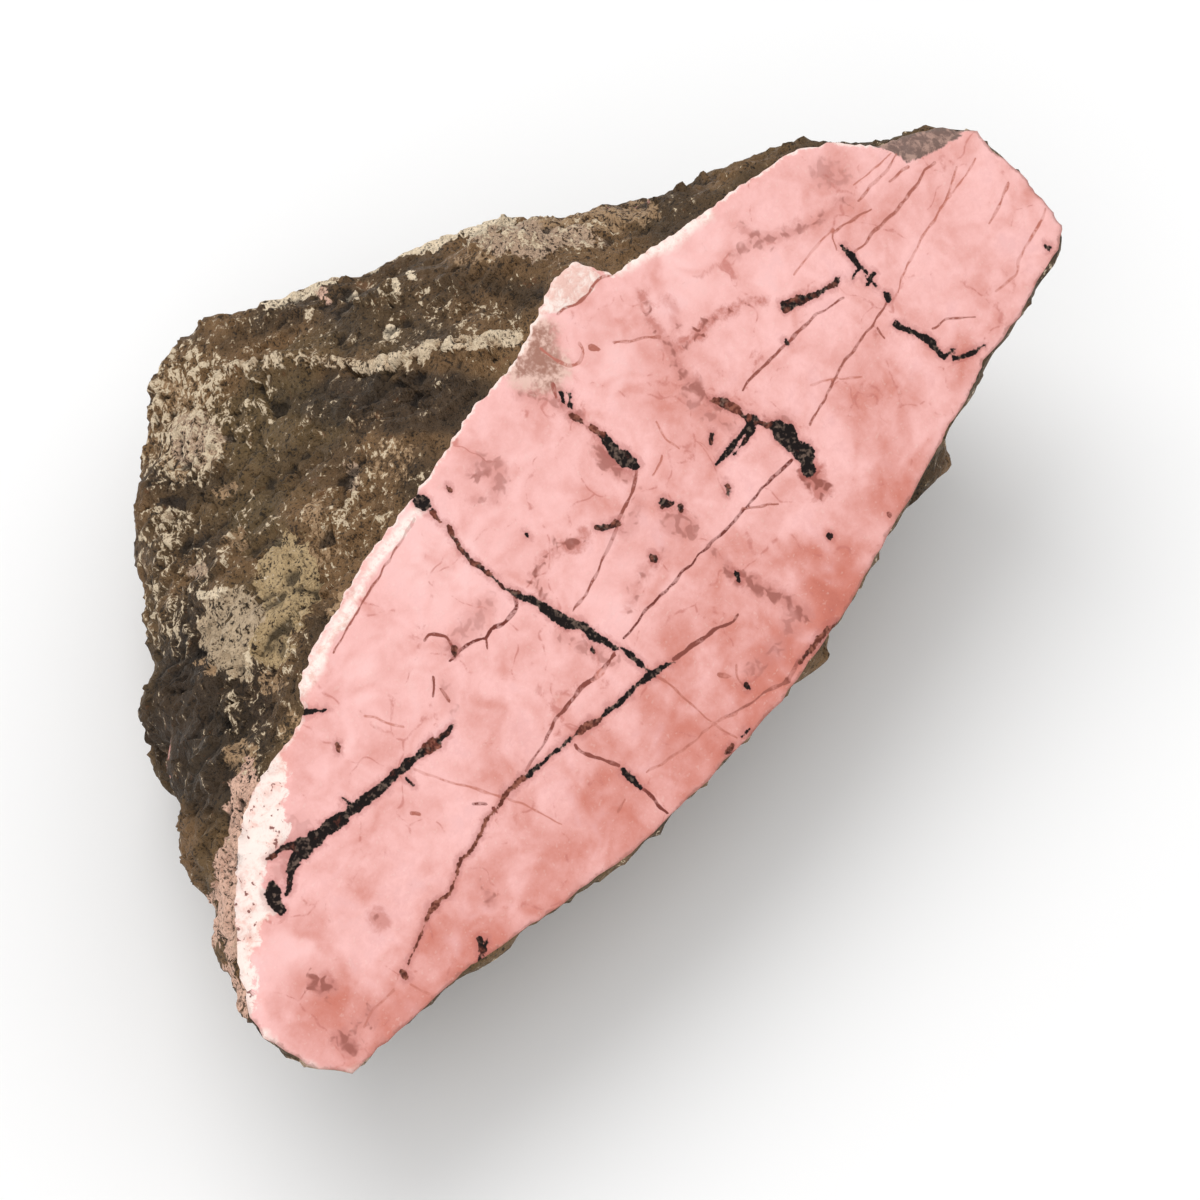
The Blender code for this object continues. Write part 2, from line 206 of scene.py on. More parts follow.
RUST_LINES = [
    ([(856.4, 250), (852.9, 256.4), (847, 263.6), (842.9, 270), (837.9, 276.4),
      (834.3, 282.9), (830, 291.4), (824.3, 300.7)], (1.3, 1.2, 1.1, 1.2, 1.1, 1.2), 0.62),
    ([(817, 316), (807, 325), (801.4, 331.4), (794, 340), (787.5, 346.7),
      (780.3, 353.2), (773, 361.2), (765.8, 369), (757, 377), (752, 384.3),
      (747, 390)], (1.4, 1, 1.3, 1, 1.1, 1), 0.85),
    ([(796.4, 335.7), (804.3, 335), (811.4, 333.6)], (1.3, 1.1, 0.7), 0.55),
    ([(865.4, 192.9), (862, 195.7), (857.9, 199.6)], (1.4, 1.2, 0.8), 0.5),
    ([(861, 188.6), (853, 199), (849, 202.5), (844.6, 207.9)], (0.8, 1.2, 1.5, 1), 0.5),
    ([(858.6, 187.9), (850, 195), (842.9, 201)], (0.9, 0.9, 0.7), 0.35),
    ([(876.4, 191.8), (872, 195.7), (868.6, 201.4), (862.9, 208.6), (860.7, 211.4),
      (854.3, 217.5), (850.7, 221), (845.7, 227), (841, 231.4)],
     (0.9, 1, 1.5, 1.5, 1.4, 1.1, 1), 0.55),
    ([(885.7, 192.9), (882, 205), (877, 214.3), (873.6, 219.3), (867, 231.4),
      (863.6, 237.9), (861, 245.7)], (0.8, 1, 1.3, 1.1, 1, 0.9, 0.8), 0.42),
    ([(893.6, 190), (887.9, 199.3), (878.6, 210.7)], (0.8, 0.9, 0.7), 0.35),
    ([(907, 200), (905, 206.4), (901.4, 212.9), (899.3, 217)], (1.2, 1.5, 1.3, 0.8), 0.45),
    ([(922.9, 210.7), (920, 217.9), (915.7, 224.3), (912, 231.4), (910.4, 237.9),
      (902, 245.4)], (0.9, 1.4, 1.2, 1.4, 1, 0.8), 0.42),
    ([(838.6, 247.9), (830.7, 252.9), (824.3, 257.9), (815.4, 266.4), (807, 275),
      (800, 281), (796.6, 286.4)], (0.9, 1.1, 1.2, 1.6, 1.2, 1.4, 0.9), 0.66),
    ([(825, 284.3), (832.9, 282.1), (846.4, 281)], (0.9,), 0.35),
    ([(852.9, 260.7), (855.7, 265)], (1,), 0.6),
    ([(875.7, 260.7), (882, 257), (888.6, 256.4), (893.6, 256)], (1, 1.2, 0.9, 0.7), 0.6),
    ([(834.3, 219.3), (826, 228), (817.9, 238.6)], (0.9,), 0.35),
    ([(850, 211.4), (840, 217), (834, 222), (836, 228)], (1, 1.2, 1, 0.8), 0.5),
    ([(743.3, 396.7), (736, 405.4), (731, 409), (726, 414.8), (721.6, 419.9),
      (718, 425), (714.3, 433), (710, 438.7), (705.7, 445.2)],
     (1.6, 1.6, 2.2, 1.6, 1.4, 1.3, 1, 1), 0.72),
    ([(752, 320), (750.7, 328.6), (746.4, 336.4), (743.3, 346), (739, 355.4),
      (734.6, 365.5), (729.6, 373.5), (726, 378.5)], (1.4, 1.6, 1.4, 1.2, 1.1, 1), 0.66),
    ([(701.7, 372.8), (701.7, 377), (699, 382), (694.8, 385), (691.9, 385.8),
      (689, 389.4), (684.6, 390.9), (680.3, 393.8), (677.4, 396.7), (673.8, 399.6)],
     (2, 1.8, 1.5, 1.8, 1.3, 1.6, 1.3, 1), 0.85),
    ([(689.5, 390), (690.4, 394.4)], (1.2, 0.8), 0.7),
    ([(663.6, 390.6), (665.6, 388.6), (668, 388), (672.3, 388.7), (675.6, 393.4)],
     (1, 1.3, 1.3, 1.1), 0.7),
    ([(667.2, 406), (667.8, 410), (667, 414.4)], (1, 1.4, 0.9), 0.7),
    ([(671, 411), (674.5, 416.2)], (0.8, 1.3), 0.6),
    ([(761, 405.8), (765, 408.3), (773, 415.5), (778.8, 420.6), (784.6, 425.7),
      (794, 431.4)], (1.2, 1, 0.9, 0.9), 0.42),
    ([(794, 421.3), (784.6, 425.7), (777.4, 431.4), (772.3, 436.5), (768, 438.7),
      (756.4, 446)], (0.9, 1, 1, 1.2, 0.8), 0.45),
    ([(767.6, 398.6), (773, 394.5), (778.8, 390.9), (784.6, 386.5), (791, 383.6),
      (794.8, 380)], (1.8, 1.6, 1.8, 1.5, 1.3, 0.8), 0.72),
    ([(726.7, 434.3), (728.8, 437.2), (738.3, 440.5), (744.8, 443)], (1.2, 1.8, 1.5, 1.6), 0.7),
    ([(754, 452.6), (759.3, 456), (762.2, 460.4), (766.5, 464)], (1.2, 1.8, 1.8, 1.2), 0.8),
    ([(684, 459), (689.7, 459.3)], (1.4, 1.2), 0.8),
    ([(692.8, 460.4), (694, 461.6)], (2.2,), 0.8),
    ([(660, 445), (673, 449), (687.5, 453.2), (694, 455.4), (706.4, 459.7),
      (721.6, 467.7)], (1, 0.9, 1.1, 0.9, 0.8), 0.32),
    ([(820, 399), (815.4, 407), (807.7, 411.5), (797, 418.5), (787.7, 423.8)],
     (1.4, 1.8, 1, 1, 0.8), 0.6),
    ([(793.8, 400.8), (794.6, 407), (798.5, 410.8)], (0.9,), 0.45),
    ([(786.6, 404.8), (790, 406)], (2.4, 1.8), 0.5),
    ([(747.7, 457), (744.6, 462.3)], (1,), 0.45),
    ([(762.9, 313.6), (760.7, 320), (759.3, 322)], (1,), 0.4),
    ([(717.4, 284), (718.6, 289.6)], (2, 1.4), 0.6),
    ([(719.3, 254.3), (725.7, 251), (730.7, 247.9), (734.3, 243.6), (737.9, 239.3),
      (742.9, 238.6)], (1.2, 1.3, 1.4, 1.3, 1.2, 0.8), 0.55),
    ([(713, 269), (718, 273.6), (723.6, 276.4), (727.9, 275), (730, 270),
      (728.6, 267)], (1.2, 1.6, 1.4, 1.2), 0.45),
    ([(733.4, 269), (736.8, 269.2)], (2.8, 2.2), 0.5),
    ([(742.9, 267), (751.4, 265.4), (757, 264.3), (762, 264.3)], (1.2,), 0.5),
    ([(660, 340), (650, 356), (640, 372), (626, 396)], (0.9, 1.1, 1, 0.8), 0.6),
    ([(658, 534), (667, 539)], (0.9,), 0.3),
    ([(639, 422), (655, 427)], (0.9,), 0.25),
    ([(651, 536), (643, 545), (639, 552)], (1.1, 0.9, 0.8), 0.4),
    ([(658.4, 463), (661.6, 463.4)], (1.9,), 0.5),
    ([(857.4, 338.2), (858, 338.8)], (2.2,), 0.7),
    ([(815.2, 406.7), (815.6, 407.3)], (2.2,), 0.7),
    ([(760.8, 300), (764, 306), (770, 311)], (1, 0.8, 0.7), 0.3),
    ([(738, 404), (733.6, 407.6)], (2.4, 1.6), 0.35),
]
HAZES = [
    ([(800, 225.7), (808.6, 223.6), (820, 219.3), (827, 216.4), (831.4, 213.6),
      (836.4, 209.3), (840, 206.4)], (3.2,), 0.42),
    ([(795.7, 217.9), (801.4, 222.9), (807, 223.6)], (4,), 0.40),
    ([(789.3, 230), (795.7, 228.6), (807, 224.3)], (3,), 0.36),
    ([(831, 196), (836, 197)], (14,), 0.22),
    ([(754.6, 247), (755.7, 252), (757, 256.4), (760, 260.7), (764.3, 265.7)],
     (3.2, 3, 2.4, 1.6), 0.62),
    ([(770.7, 270), (775, 265), (780, 261.4), (785, 255.7), (790, 254.3),
      (797, 250), (804.3, 250)], (2.6, 3, 2.8, 2.8, 2.4, 2), 0.74),
    ([(764.3, 248.6), (768.6, 253.6), (769.3, 260.7)], (1.8,), 0.35),
    ([(764.3, 265.7), (767, 272), (772, 280.7), (776.4, 283.6), (780, 288.6),
      (786.3, 292.7)], (4, 4.6, 5.4, 5), 0.50),
    ([(730, 344.5), (731, 348), (725.2, 351), (720, 351), (717.2, 354),
      (713.6, 356.8), (710.7, 361.2), (710.4, 366.2), (712, 371.6)],
     (2.4, 3, 4, 3, 4, 2.4, 2.2, 2.2), 0.62),
    ([(764.3, 354), (754.2, 364), (752, 372), (749, 376.4)], (2.2,), 0.40),
    ([(769, 341), (773, 343)], (11,), 0.38),
    ([(790, 361), (801.5, 367), (809.2, 371.5), (817, 376), (823.5, 382.3)],
     (5, 7, 7.5, 7, 6), 0.52),
    ([(785, 355), (787, 356)], (4.4,), 0.35),
    ([(689.4, 492), (690.6, 499)], (3.4,), 0.42),
    ([(619, 533.6), (624, 535.4)], (9,), 0.60),
    ([(629.6, 557), (632.6, 559)], (9,), 0.55),
    ([(641.6, 546), (642.4, 550.6)], (2.6,), 0.5),
    ([(634.6, 549.6), (635.6, 551)], (2.6,), 0.5),
    ([(644, 506.6), (646, 507.6)], (4,), 0.5),
    ([(683.6, 321), (690.4, 321.4)], (5.4,), 0.45),
    ([(684, 331.4), (686.6, 332)], (4,), 0.35),
    ([(825.6, 322), (829, 327.4)], (11, 9), 0.66),
    ([(808, 298), (816, 299)], (8,), 0.35),
    ([(736, 309), (741, 316), (749, 322)], (8, 9, 6), 0.45),
    ([(704, 288), (716, 291), (730, 299)], (6, 5, 4), 0.34),
    ([(772, 290), (782, 296), (793, 303)], (6, 8, 5), 0.30),
    ([(690, 376), (684, 384), (672, 396)], (7, 9, 6), 0.22),
    ([(721, 389), (742, 399)], (5, 7), 0.30),
    ([(612, 470), (603, 487)], (13, 10), 0.15),
    ([(753, 333), (748, 345)], (5, 4), 0.30),
    ([(818, 380), (812, 392), (800, 404)], (10, 8, 5), 0.28),
    ([(672, 408), (676, 420)], (5, 4), 0.20),
    ([(687, 317), (695, 322), (692, 331)], (9, 10, 6), 0.30),
]

# Soft patches of the pink ground: pixel, half width and half height, and strength.
# Warm ones are deeper and more salmon, and towards the lower right partly painted shade; pale ones
# are lighter and cooler.
WARM_AND_SHADED_PLACES = [
    ((838, 372), 22, 24, 0.95), ((812, 398), 20, 16, 0.90), ((866, 330), 20, 22, 0.62),
    ((850, 290), 24, 22, 0.34), ((776, 432), 30, 22, 0.66), ((742, 462), 26, 20, 0.66),
    ((716, 486), 20, 18, 0.60), ((684, 518), 26, 18, 0.72), ((654, 550), 20, 14, 0.78),
    ((900, 240), 16, 20, 0.22), ((884, 268), 20, 14, 0.25), ((792, 382), 30, 22, 0.42),
    ((802, 418), 20, 14, 0.75), ((630, 544), 16, 16, 0.62),
    ((762, 346), 18, 16, 0.35), ((842, 210), 20, 16, 0.18), ((700, 440), 22, 16, 0.28),
    ((760, 272), 20, 18, 0.32), ((640, 500), 18, 20, 0.25), ((786, 296), 22, 12, 0.34),
]
PALE_PLACES = [
    ((700, 325), 24, 22, 0.35), ((668, 362), 16, 22, 0.65), ((646, 408), 18, 22, 0.55),
    ((770, 232), 26, 12, 0.60), ((738, 268), 22, 14, 0.45), ((745, 372), 18, 12, 0.35),
    ((716, 408), 16, 14, 0.30), ((640, 442), 16, 12, 0.45), ((880, 196), 16, 10, 0.40),
    ((612, 520), 12, 24, 0.45), ((806, 244), 16, 10, 0.30), ((668, 476), 18, 14, 0.15),
    ((706, 356), 14, 12, 0.35), ((856, 232), 12, 10, 0.30),
]

# Areas of the face with a ground of their own, as outlines in pixels.
CREAM_CHIP = [
    (711.4, 255), (715, 245), (720, 237.9), (726.4, 232), (734.3, 235.7),
    (737.9, 239.3), (732.9, 246.4), (727, 250.7), (719.3, 254.3),
]
MATRIX_PATCH = [
    (699, 268), (710, 255), (718.6, 259.3), (719.3, 269.3), (724.3, 275.7),
    (720.7, 286.4), (715, 287), (704.3, 285), (694, 279.3),
]
BROKEN_PATCH = [
    (607, 444), (606, 454), (605, 462), (608, 469), (605, 477),
    (598, 483), (596, 492), (603, 504), (597, 509), (594, 518),
    (593, 530), (595, 540), (592, 552), (580, 552), (580, 500),
    (582, 462), (590, 436), (604, 434),
]
CHAMFER = [(664, 335), (648, 354), (634, 376), (622, 396), (612, 412)]
WHITE_RIMS = [
    [(745, 236), (757, 228.6), (765.7, 225.7), (774.3, 217.9), (782, 213)],
    [(597, 556), (605, 566), (620, 572), (629, 575), (637, 571)],
    [(712, 254), (722, 236), (728, 231)],
]
DARK_TOP = [
    (851, 184), (862, 176), (880, 171), (893, 172), (888, 179.5),
    (882, 184), (876, 187), (866, 192), (861, 188.5), (857, 186),
]

# How wide and how deep the saw cut's edge is broken down, from plain rim to broken patch
RIM_WIDTHS = {"plain": 0.22, "patchy": 0.30, "chamfer": 0.70, "broken": 2.2, "dark": 1.2}
RIM_DEPTHS = {"plain": 0.10, "patchy": 0.18, "chamfer": 0.45, "broken": 1.25, "dark": 0.7}
CHAMFER_REACH, WHITE_RIM_REACH = 2.4, 0.75
CHAMFER_WHITE_REACH, CHAMFER_WHITE_WIDTH = 0.85, 1.1
RIM_FADE = 0.9                              # how far below the face the break-down dies out
RAGGED_EDGE = (0.05, 0.28, 0.14)            # drawn in everywhere, in bites and in fine grain
FACE_RIPPLE, INK_SINK, RUST_SINK = 0.012, 0.10, 0.05
SOFT_PATCH_SPREAD = 0.62

# ================================================================ what the crust shows
CREAM, BEIGE, TAN = (240, 220, 190), (192, 163, 138), (170, 138, 104)
KHAKI, GREY_WHITE, OLIVE = (184, 158, 118), (190, 167, 138), (100, 80, 50)
BROWN, DARK, BLACK_BROWN = (122, 92, 60), (74, 56, 36), (50, 38, 26)
FLESH, FRESH_PINK = (222, 180, 158), (214, 146, 136)

# Broad tones of the crust: pixel, half width and half height, colour and strength. The near-black
# tone under the ledge at (656, 292) is a painted shadow, and the near-black one low on the left at
# (575, 420) is painted shade.
CRUST_TONES = [
    ((603, 301), 30, 18, OLIVE, 0.8), ((656, 292), 46, 13, BLACK_BROWN, 0.75),
    ((656, 250), 46, 18, DARK, 0.7), ((575, 420), 28, 44, BLACK_BROWN, 0.85),
    ((636, 348), 24, 32, BROWN, 0.75), ((566, 281), 18, 14, BROWN, 0.7),
    ((688, 256), 14, 10, BROWN, 0.6), ((540, 380), 10, 26, BROWN, 0.4),
    ((560, 350), 14, 12, DARK, 0.6), ((595, 345), 12, 12, OLIVE, 0.6),
    ((626, 392), 10, 16, DARK, 0.7), ((760, 208), 30, 7, DARK, 0.7),
    ((716, 226), 40, 16, BROWN, 0.7), ((558, 334), 5, 5, BLACK_BROWN, 1.0),
    ((930, 226), 6, 8, BLACK_BROWN, 1.0), ((919, 244), 6, 12, BLACK_BROWN, 1.0),
    ((906, 266), 7, 11, BLACK_BROWN, 0.9), ((620, 318), 20, 10, DARK, 0.5),
]
# Paler patches, broken up by streaks of the ground: the same five numbers. The small cream and
# flesh spots at (650, 263), (651.6, 243), (621.6, 246.4), (634, 246.4) and (659, 240) are painted
# glints.
CRUST_PATCHES = [
    ((607, 368), 13, 22, KHAKI, 0.95), ((601, 392), 9, 10, KHAKI, 0.8),
    ((584, 388), 13, 18, GREY_WHITE, 0.75), ((569, 307), 11, 13, BEIGE, 0.7),
    ((562, 320), 5, 4, TAN, 0.7), ((569, 362), 5, 4, BEIGE, 0.7),
    ((558, 334), 5, 5, BLACK_BROWN, 1.0), ((634, 323), 4, 7, BEIGE, 0.7),
    ((582, 328), 6, 4, TAN, 0.6), ((618, 339), 4, 6, TAN, 0.6),
    ((710, 223), 28, 8, BEIGE, 0.85), ((730, 216), 18, 6, TAN, 0.8),
    ((650, 263), 3.2, 3.6, CREAM, 1.0), ((651.6, 243), 2.0, 3, CREAM, 0.7),
    ((621.6, 246.4), 2.6, 2.6, FLESH, 0.7), ((634, 246.4), 3.2, 2.2, CREAM, 0.6),
    ((659, 240), 2.6, 2.2, CREAM, 0.6), ((576, 372), 8, 2.2, CREAM, 0.75),
    ((600, 408), 6, 5, TAN, 0.55), ((609, 430), 5, 9, TAN, 0.5),
    ((588, 440), 7, 10, TAN, 0.45), ((590, 462), 8, 22, FLESH, 0.85),
    ((584, 500), 8, 26, FLESH, 0.85), ((584, 540), 8, 16, FLESH, 0.7),
    ((563, 290), 12, 10, TAN, 0.55), ((640, 300), 9, 5, TAN, 0.2),
    ((622, 352), 7, 9, TAN, 0.5), ((652, 316), 9, 10, TAN, 0.4),
    ((556, 312), 5, 9, TAN, 0.5), ((585, 350), 6, 6, TAN, 0.45),
    ((688, 232), 12, 4, TAN, 0.45), ((748, 213), 14, 5, TAN, 0.6),
    ((578, 399), 9, 6, TAN, 0.55), ((630, 378), 6, 9, TAN, 0.4),
]
# Cream strip along the top of the crust, as a line of pixels: pale crust and partly a painted
# highlight where the top edge catches the light
TOP_STRIP_AND_RIM_HIGHLIGHT = [
    (600, 250), (612, 244), (622, 240), (634, 235.5), (650, 229.5),
    (667, 224), (684, 219.5), (700, 215),
]
# Where pale flecks crowd: pixel, half width and half height, and how closely
FLECK_PLACES = [
    ((562, 296), 24, 34, 1), ((618, 302), 34, 22, 0.42), ((640, 260), 70, 20, 0.62),
    ((596, 352), 46, 26, 0.50), ((606, 420), 24, 40, 0.66), ((646, 335), 24, 28, 0.66),
    ((706, 222), 44, 10, 0.8), ((558, 365), 18, 34, 0.80), ((584, 292), 22, 18, 0.7),
]
FLECKS_IN_VIEW, FLECKS_HIDDEN = 0.22, 0.5
LEDGE = [
    (582, 279), (596, 276), (608, 275), (622, 275), (632, 276),
    (641, 278), (650, 275), (658, 274), (667, 269), (676, 267),
    (684, 268), (692, 266), (702, 265),
]
LEDGE_HALF_WIDTH = 2.7
TOP_STRIP_HALF_WIDTH = 2.6
HIDDEN_PATCH_COUNT, HIDDEN_PATCH_BOX = 46, ((-46, -29, 0), (46, 30, 34))
HIDDEN_PATCH_RADIUS, HIDDEN_PATCH_COVER = (2.0, 5.5), (0.50, 0.95)
HIDDEN_PATCH_COLOURS = (OLIVE, BROWN, TAN, DARK, BEIGE, KHAKI, BLACK_BROWN, FRESH_PINK, GREY_WHITE)

# ---- relief of the crust: grain or facet size and height ----
BIG_FACETS, SMALL_FACETS = (3.6, 0.17), (1.1, 0.42)
GRAIN_SIZE, GRAIN_HEIGHT = 0.60, 0.07
RIDGE_SIZE, RIDGE_HEIGHT = 1.5, 0.13
PIT_SIZE, PIT_DEPTH = 2.1, 0.50
LEDGE_SIZE, LEDGE_HEIGHT = 0.95, 0.70
RELIEF_RANGE = (-0.75, 0.60)
RIM_CALM = 1.0                              # the relief fades out this far from the face
STREAK_LEAN, STREAK_STRETCH = 0.30, (0.30, 0.8)


# ================================================================ noise
def draws(cells, salt):
    """Three even random numbers from 0 to 1 for each whole-number cell."""
    cells = cells.astype(np.int64).astype(np.uint64) & np.uint64(0xFFFFFFFF)
    mixed = (cells[:, 0] * np.uint64(73856093)) ^ (cells[:, 1] * np.uint64(19349663))
    mixed ^= (cells[:, 2] * np.uint64(83492791)) ^ np.uint64(salt * 2654435761)
    result = []
    for _ in range(3):
        mixed = ((mixed & np.uint64(0xFFFFFFFF)) ^ (mixed >> np.uint64(15) & np.uint64(0x1FFFF)))
        mixed = mixed * np.uint64(2246822519) & np.uint64(0xFFFFFFFF)
        mixed = (mixed ^ (mixed >> np.uint64(13))) * np.uint64(3266489917) & np.uint64(0xFFFFFFFF)
        mixed ^= mixed >> np.uint64(16)
        result.append(mixed / float(0xFFFFFFFF))
    return np.stack(result, axis=1)


def wave(points, size, salt=0):
    """Smooth noise, mostly between -1 and 1, at each point; each salt has its own pattern."""
    place = points / size
    base = np.floor(place)
    offset = place - base
    ease = offset ** 3 * (offset * (offset * 6.0 - 15.0) + 10.0)
    total = np.zeros(len(points))
    for corner in product((0.0, 1.0), repeat=3):
        corner = np.array(corner)
        slope = draws(base + corner, salt) * 2.0 - 1.0
        weight = np.prod(np.where(corner > 0.5, ease, 1.0 - ease), axis=1)
        total += weight * (slope * (offset - corner)).sum(axis=1)
    return total * 1.7


def two_waves(points, size, salt, other_salt):
    """Two numbers of smooth noise at each point."""
    return np.stack((wave(points, size, salt), wave(points, size, other_salt)), axis=1)


def on_plane(places):
    """2-D places as 3-D points, for noise to be drawn at."""
    return np.column_stack((places, np.zeros(len(places))))


def facets(points, size, salt=0):
    """Flat facets, each tilted its own way: height in facet sizes, and a draw for each."""
    place = points / size
    base = np.floor(place)
    nearest = np.full(len(points), 9.0)
    way = np.zeros_like(points)
    draw = np.zeros_like(points)
    for shift in product((-1.0, 0.0, 1.0), repeat=3):
        cell = base + np.array(shift)
        gap = place - cell - draws(cell, salt)
        away = (gap * gap).sum(axis=1)
        closer = away < nearest
        nearest[closer] = away[closer]
        way[closer] = gap[closer]
        draw[closer] = draws(cell[closer], salt + 1)
    return ((draw * 2.0 - 1.0) * way).sum(axis=1), draw[:, 0]


def smooth_step(value, low, high):
    share = np.clip((value - low) / (high - low), 0.0, 1.0)
    return share * share * (3.0 - 2.0 * share)


# ================================================================ mesh tools
def read_node(node):
    """Welded vertices in millimetres, and triangles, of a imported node."""
    mesh = node.data
    mesh.calc_loop_triangles()
    points = np.zeros(len(mesh.vertices) * 3)
    mesh.vertices.foreach_get("co", points)
    points = points.reshape(-1, 3) / MM
    corners = np.zeros(len(mesh.loop_triangles) * 3, dtype=np.int32)
    mesh.loop_triangles.foreach_get("vertices", corners)
    _, first, same = np.unique(np.round(points / WELD).astype(np.int64), axis=0,
                               return_index=True, return_inverse=True)
    triangles = same.reshape(-1)[corners].reshape(-1, 3)
    whole = ((triangles[:, 0] != triangles[:, 1]) & (triangles[:, 1] != triangles[:, 2])
             & (triangles[:, 2] != triangles[:, 0]))
    return points[first], triangles[whole]


def drop_unused(points, triangles):
    """The same mesh without vertices that no triangle uses."""
    used, numbers = np.unique(triangles, return_inverse=True)
    return points[used], numbers.reshape(-1, 3)


def edges_of(triangles):
    """Every edge once, the three edge numbers of each triangle, and each edge's count."""
    pairs = triangles[:, ((0, 1), (1, 2), (2, 0))].reshape(-1, 2)
    edges, numbers, counts = np.unique(np.sort(pairs, axis=1), axis=0,
                                       return_inverse=True, return_counts=True)
    return edges, numbers.reshape(-1, 3), counts


def rim_of(triangles):
    """Vertex numbers round the open rim, in order."""
    edges, _, counts = edges_of(triangles)
    onward = {}
    for a, b in edges[counts == 1]:
        onward.setdefault(a, []).append(b)
        onward.setdefault(b, []).append(a)
    loop = [min(onward)]
    loop.append(onward[loop[0]][0])
    while loop[-1] != loop[0]:
        loop.append(next(v for v in onward[loop[-1]] if v != loop[-2]))
    return np.array(loop[:-1])


def split(points, triangles, chosen):
    """Cut the chosen triangles in four, and their neighbours so that all edges still meet."""
    edges, numbers, _ = edges_of(triangles)
    cut = np.zeros(len(edges), dtype=bool)
    cut[numbers[chosen]] = True
    while (cut[numbers].sum(axis=1) == 2).any():
        cut[numbers[cut[numbers].sum(axis=1) == 2]] = True
    middles = len(points) + np.cumsum(cut) - 1
    points = np.vstack((points, points[edges[cut]].mean(axis=1)))
    count = cut[numbers].sum(axis=1)
    parts = [triangles[count == 0]]
    a, b, c = triangles[count == 3].T
    ab, bc, ca = middles[numbers[count == 3]].T
    quarters = ((a, ab, ca), (ab, b, bc), (ca, bc, c), (ab, bc, ca))
    parts += [np.stack(quarter, axis=1) for quarter in quarters]
    for side in range(3):
        alone = (count == 1) & cut[numbers[:, side]]
        a, b, c = (triangles[alone, (side + i) % 3] for i in range(3))
        middle = middles[numbers[alone, side]]
        parts += [np.stack((a, middle, c), axis=1), np.stack((middle, b, c), axis=1)]
    return points, np.vstack(parts)


def relax(points, triangles, share, held):
    """Move each vertex towards its neighbours' middle, except the held ones."""
    edges = edges_of(triangles)[0]
    both = np.vstack((edges, edges[:, ::-1]))
    degree = np.bincount(both[:, 0], minlength=len(points))[:, None]
    total = np.zeros_like(points)
    np.add.at(total, both[:, 0], points[both[:, 1]])
    moved = points + (total / degree - points) * share
    moved[held] = points[held]
    return moved


def unit_rows(vectors):
    return vectors / np.maximum(np.linalg.norm(vectors, axis=1), 1e-12)[:, None]


def across(points, triangles):
    """Each triangle's normal, twice as long as its area."""
    a, b, c = (points[triangles[:, i]] for i in range(3))
    return np.cross(b - a, c - a)


def normals_of(points, triangles):
    """Unit vertex normals."""
    total = np.zeros_like(points)
    long_normals = across(points, triangles)
    for i in range(3):
        np.add.at(total, triangles[:, i], long_normals)
    return unit_rows(total)


def path_distance(places, path):
    """Distance to a line of 2-D points, and the length along it there."""
    best = np.full(len(places), 1e9)
    along = np.zeros(len(places))
    walked = 0.0
    for start, end in zip(path, path[1:]):
        run = end - start
        length = max(np.hypot(*run), 1e-9)
        share = np.clip(((places - start) @ run) / length ** 2, 0.0, 1.0)
        gap = places - start - share[:, None] * run
        away = np.hypot(gap[:, 0], gap[:, 1])
        along = np.where(away < best, walked + share * length, along)
        best = np.minimum(best, away)
        walked += length
    return best, along


def beside(runs):
    """Unit 2-D vectors, a quarter turn from the given ones."""
    return unit_rows(np.stack((-runs[:, 1], runs[:, 0]), axis=1))


def closed_path(loop):
    return np.vstack((loop, loop[:1]))


def inside(places, loop):
    """Whether each 2-D place lies inside a closed loop."""
    crossings = np.zeros(len(places), dtype=int)
    for (u0, v0), (u1, v1) in zip(loop, np.roll(loop, -1, axis=0)):
        if v0 == v1:
            continue
        spans = (v0 > places[:, 1]) != (v1 > places[:, 1])
        meets = u0 + (places[:, 1] - v0) / (v1 - v0) * (u1 - u0)
        crossings += spans & (places[:, 0] < meets)
    return crossings % 2 == 1


def smooth_path(points, step):
    """Catmull-Rom curve through the points."""
    ends = np.vstack((2 * points[0] - points[1], points, 2 * points[-1] - points[-2]))
    result = []
    for p0, p1, p2, p3 in zip(ends, ends[1:], ends[2:], ends[3:]):
        count = max(1, round(np.hypot(*(p2 - p1)) / step))
        for t in np.arange(count) / count:
            result.append(0.5 * (2 * p1 + (p2 - p0) * t + (2 * p0 - 5 * p1 + 4 * p2 - p3) * t ** 2
                                 + (3 * p1 - p0 - 3 * p2 + p3) * t ** 3))
    result.append(points[-1])
    return np.array(result)


# ================================================================ the sawn face
def area_gap(places, pixels):
    """Signed distance to an area's outline: below 0 inside it."""
    loop = seen_on_face(pixels)
    away = path_distance(places, closed_path(loop))[0]
    return np.where(inside(places, loop), -away, away)


def line_closeness(places, pixels, reach):
    """1 on a line of pixels, falling to 0 at a distance."""
    away = path_distance(places, seen_on_face(pixels))[0]
    return smooth_step(-away, -reach, -0.3 * reach)


def rim_cut(places, inner):
    """How far the face is broken down below the saw cut, near its rim."""
    flat = on_plane(places)
    patchy = np.clip(wave(flat, 2.4, 3) + 0.35, 0.0, 1.0)
    fine = 0.7 + 0.5 * wave(flat, 0.9, 8)
    parts = {
        "plain": 1.0,
        "patchy": patchy,
        "chamfer": line_closeness(places, CHAMFER, CHAMFER_REACH),
        "broken": smooth_step(-area_gap(places, BROKEN_PATCH), -0.5, 0.4),
        "dark": smooth_step(-area_gap(places, DARK_TOP), -0.3, 0.3),
    }
    width = sum(RIM_WIDTHS[name] * part for name, part in parts.items())
    depth = sum(RIM_DEPTHS[name] * part for name, part in parts.items()) * fine
    return depth * np.clip(1.0 - inner / width, 0.0, 1.0) ** 1.15


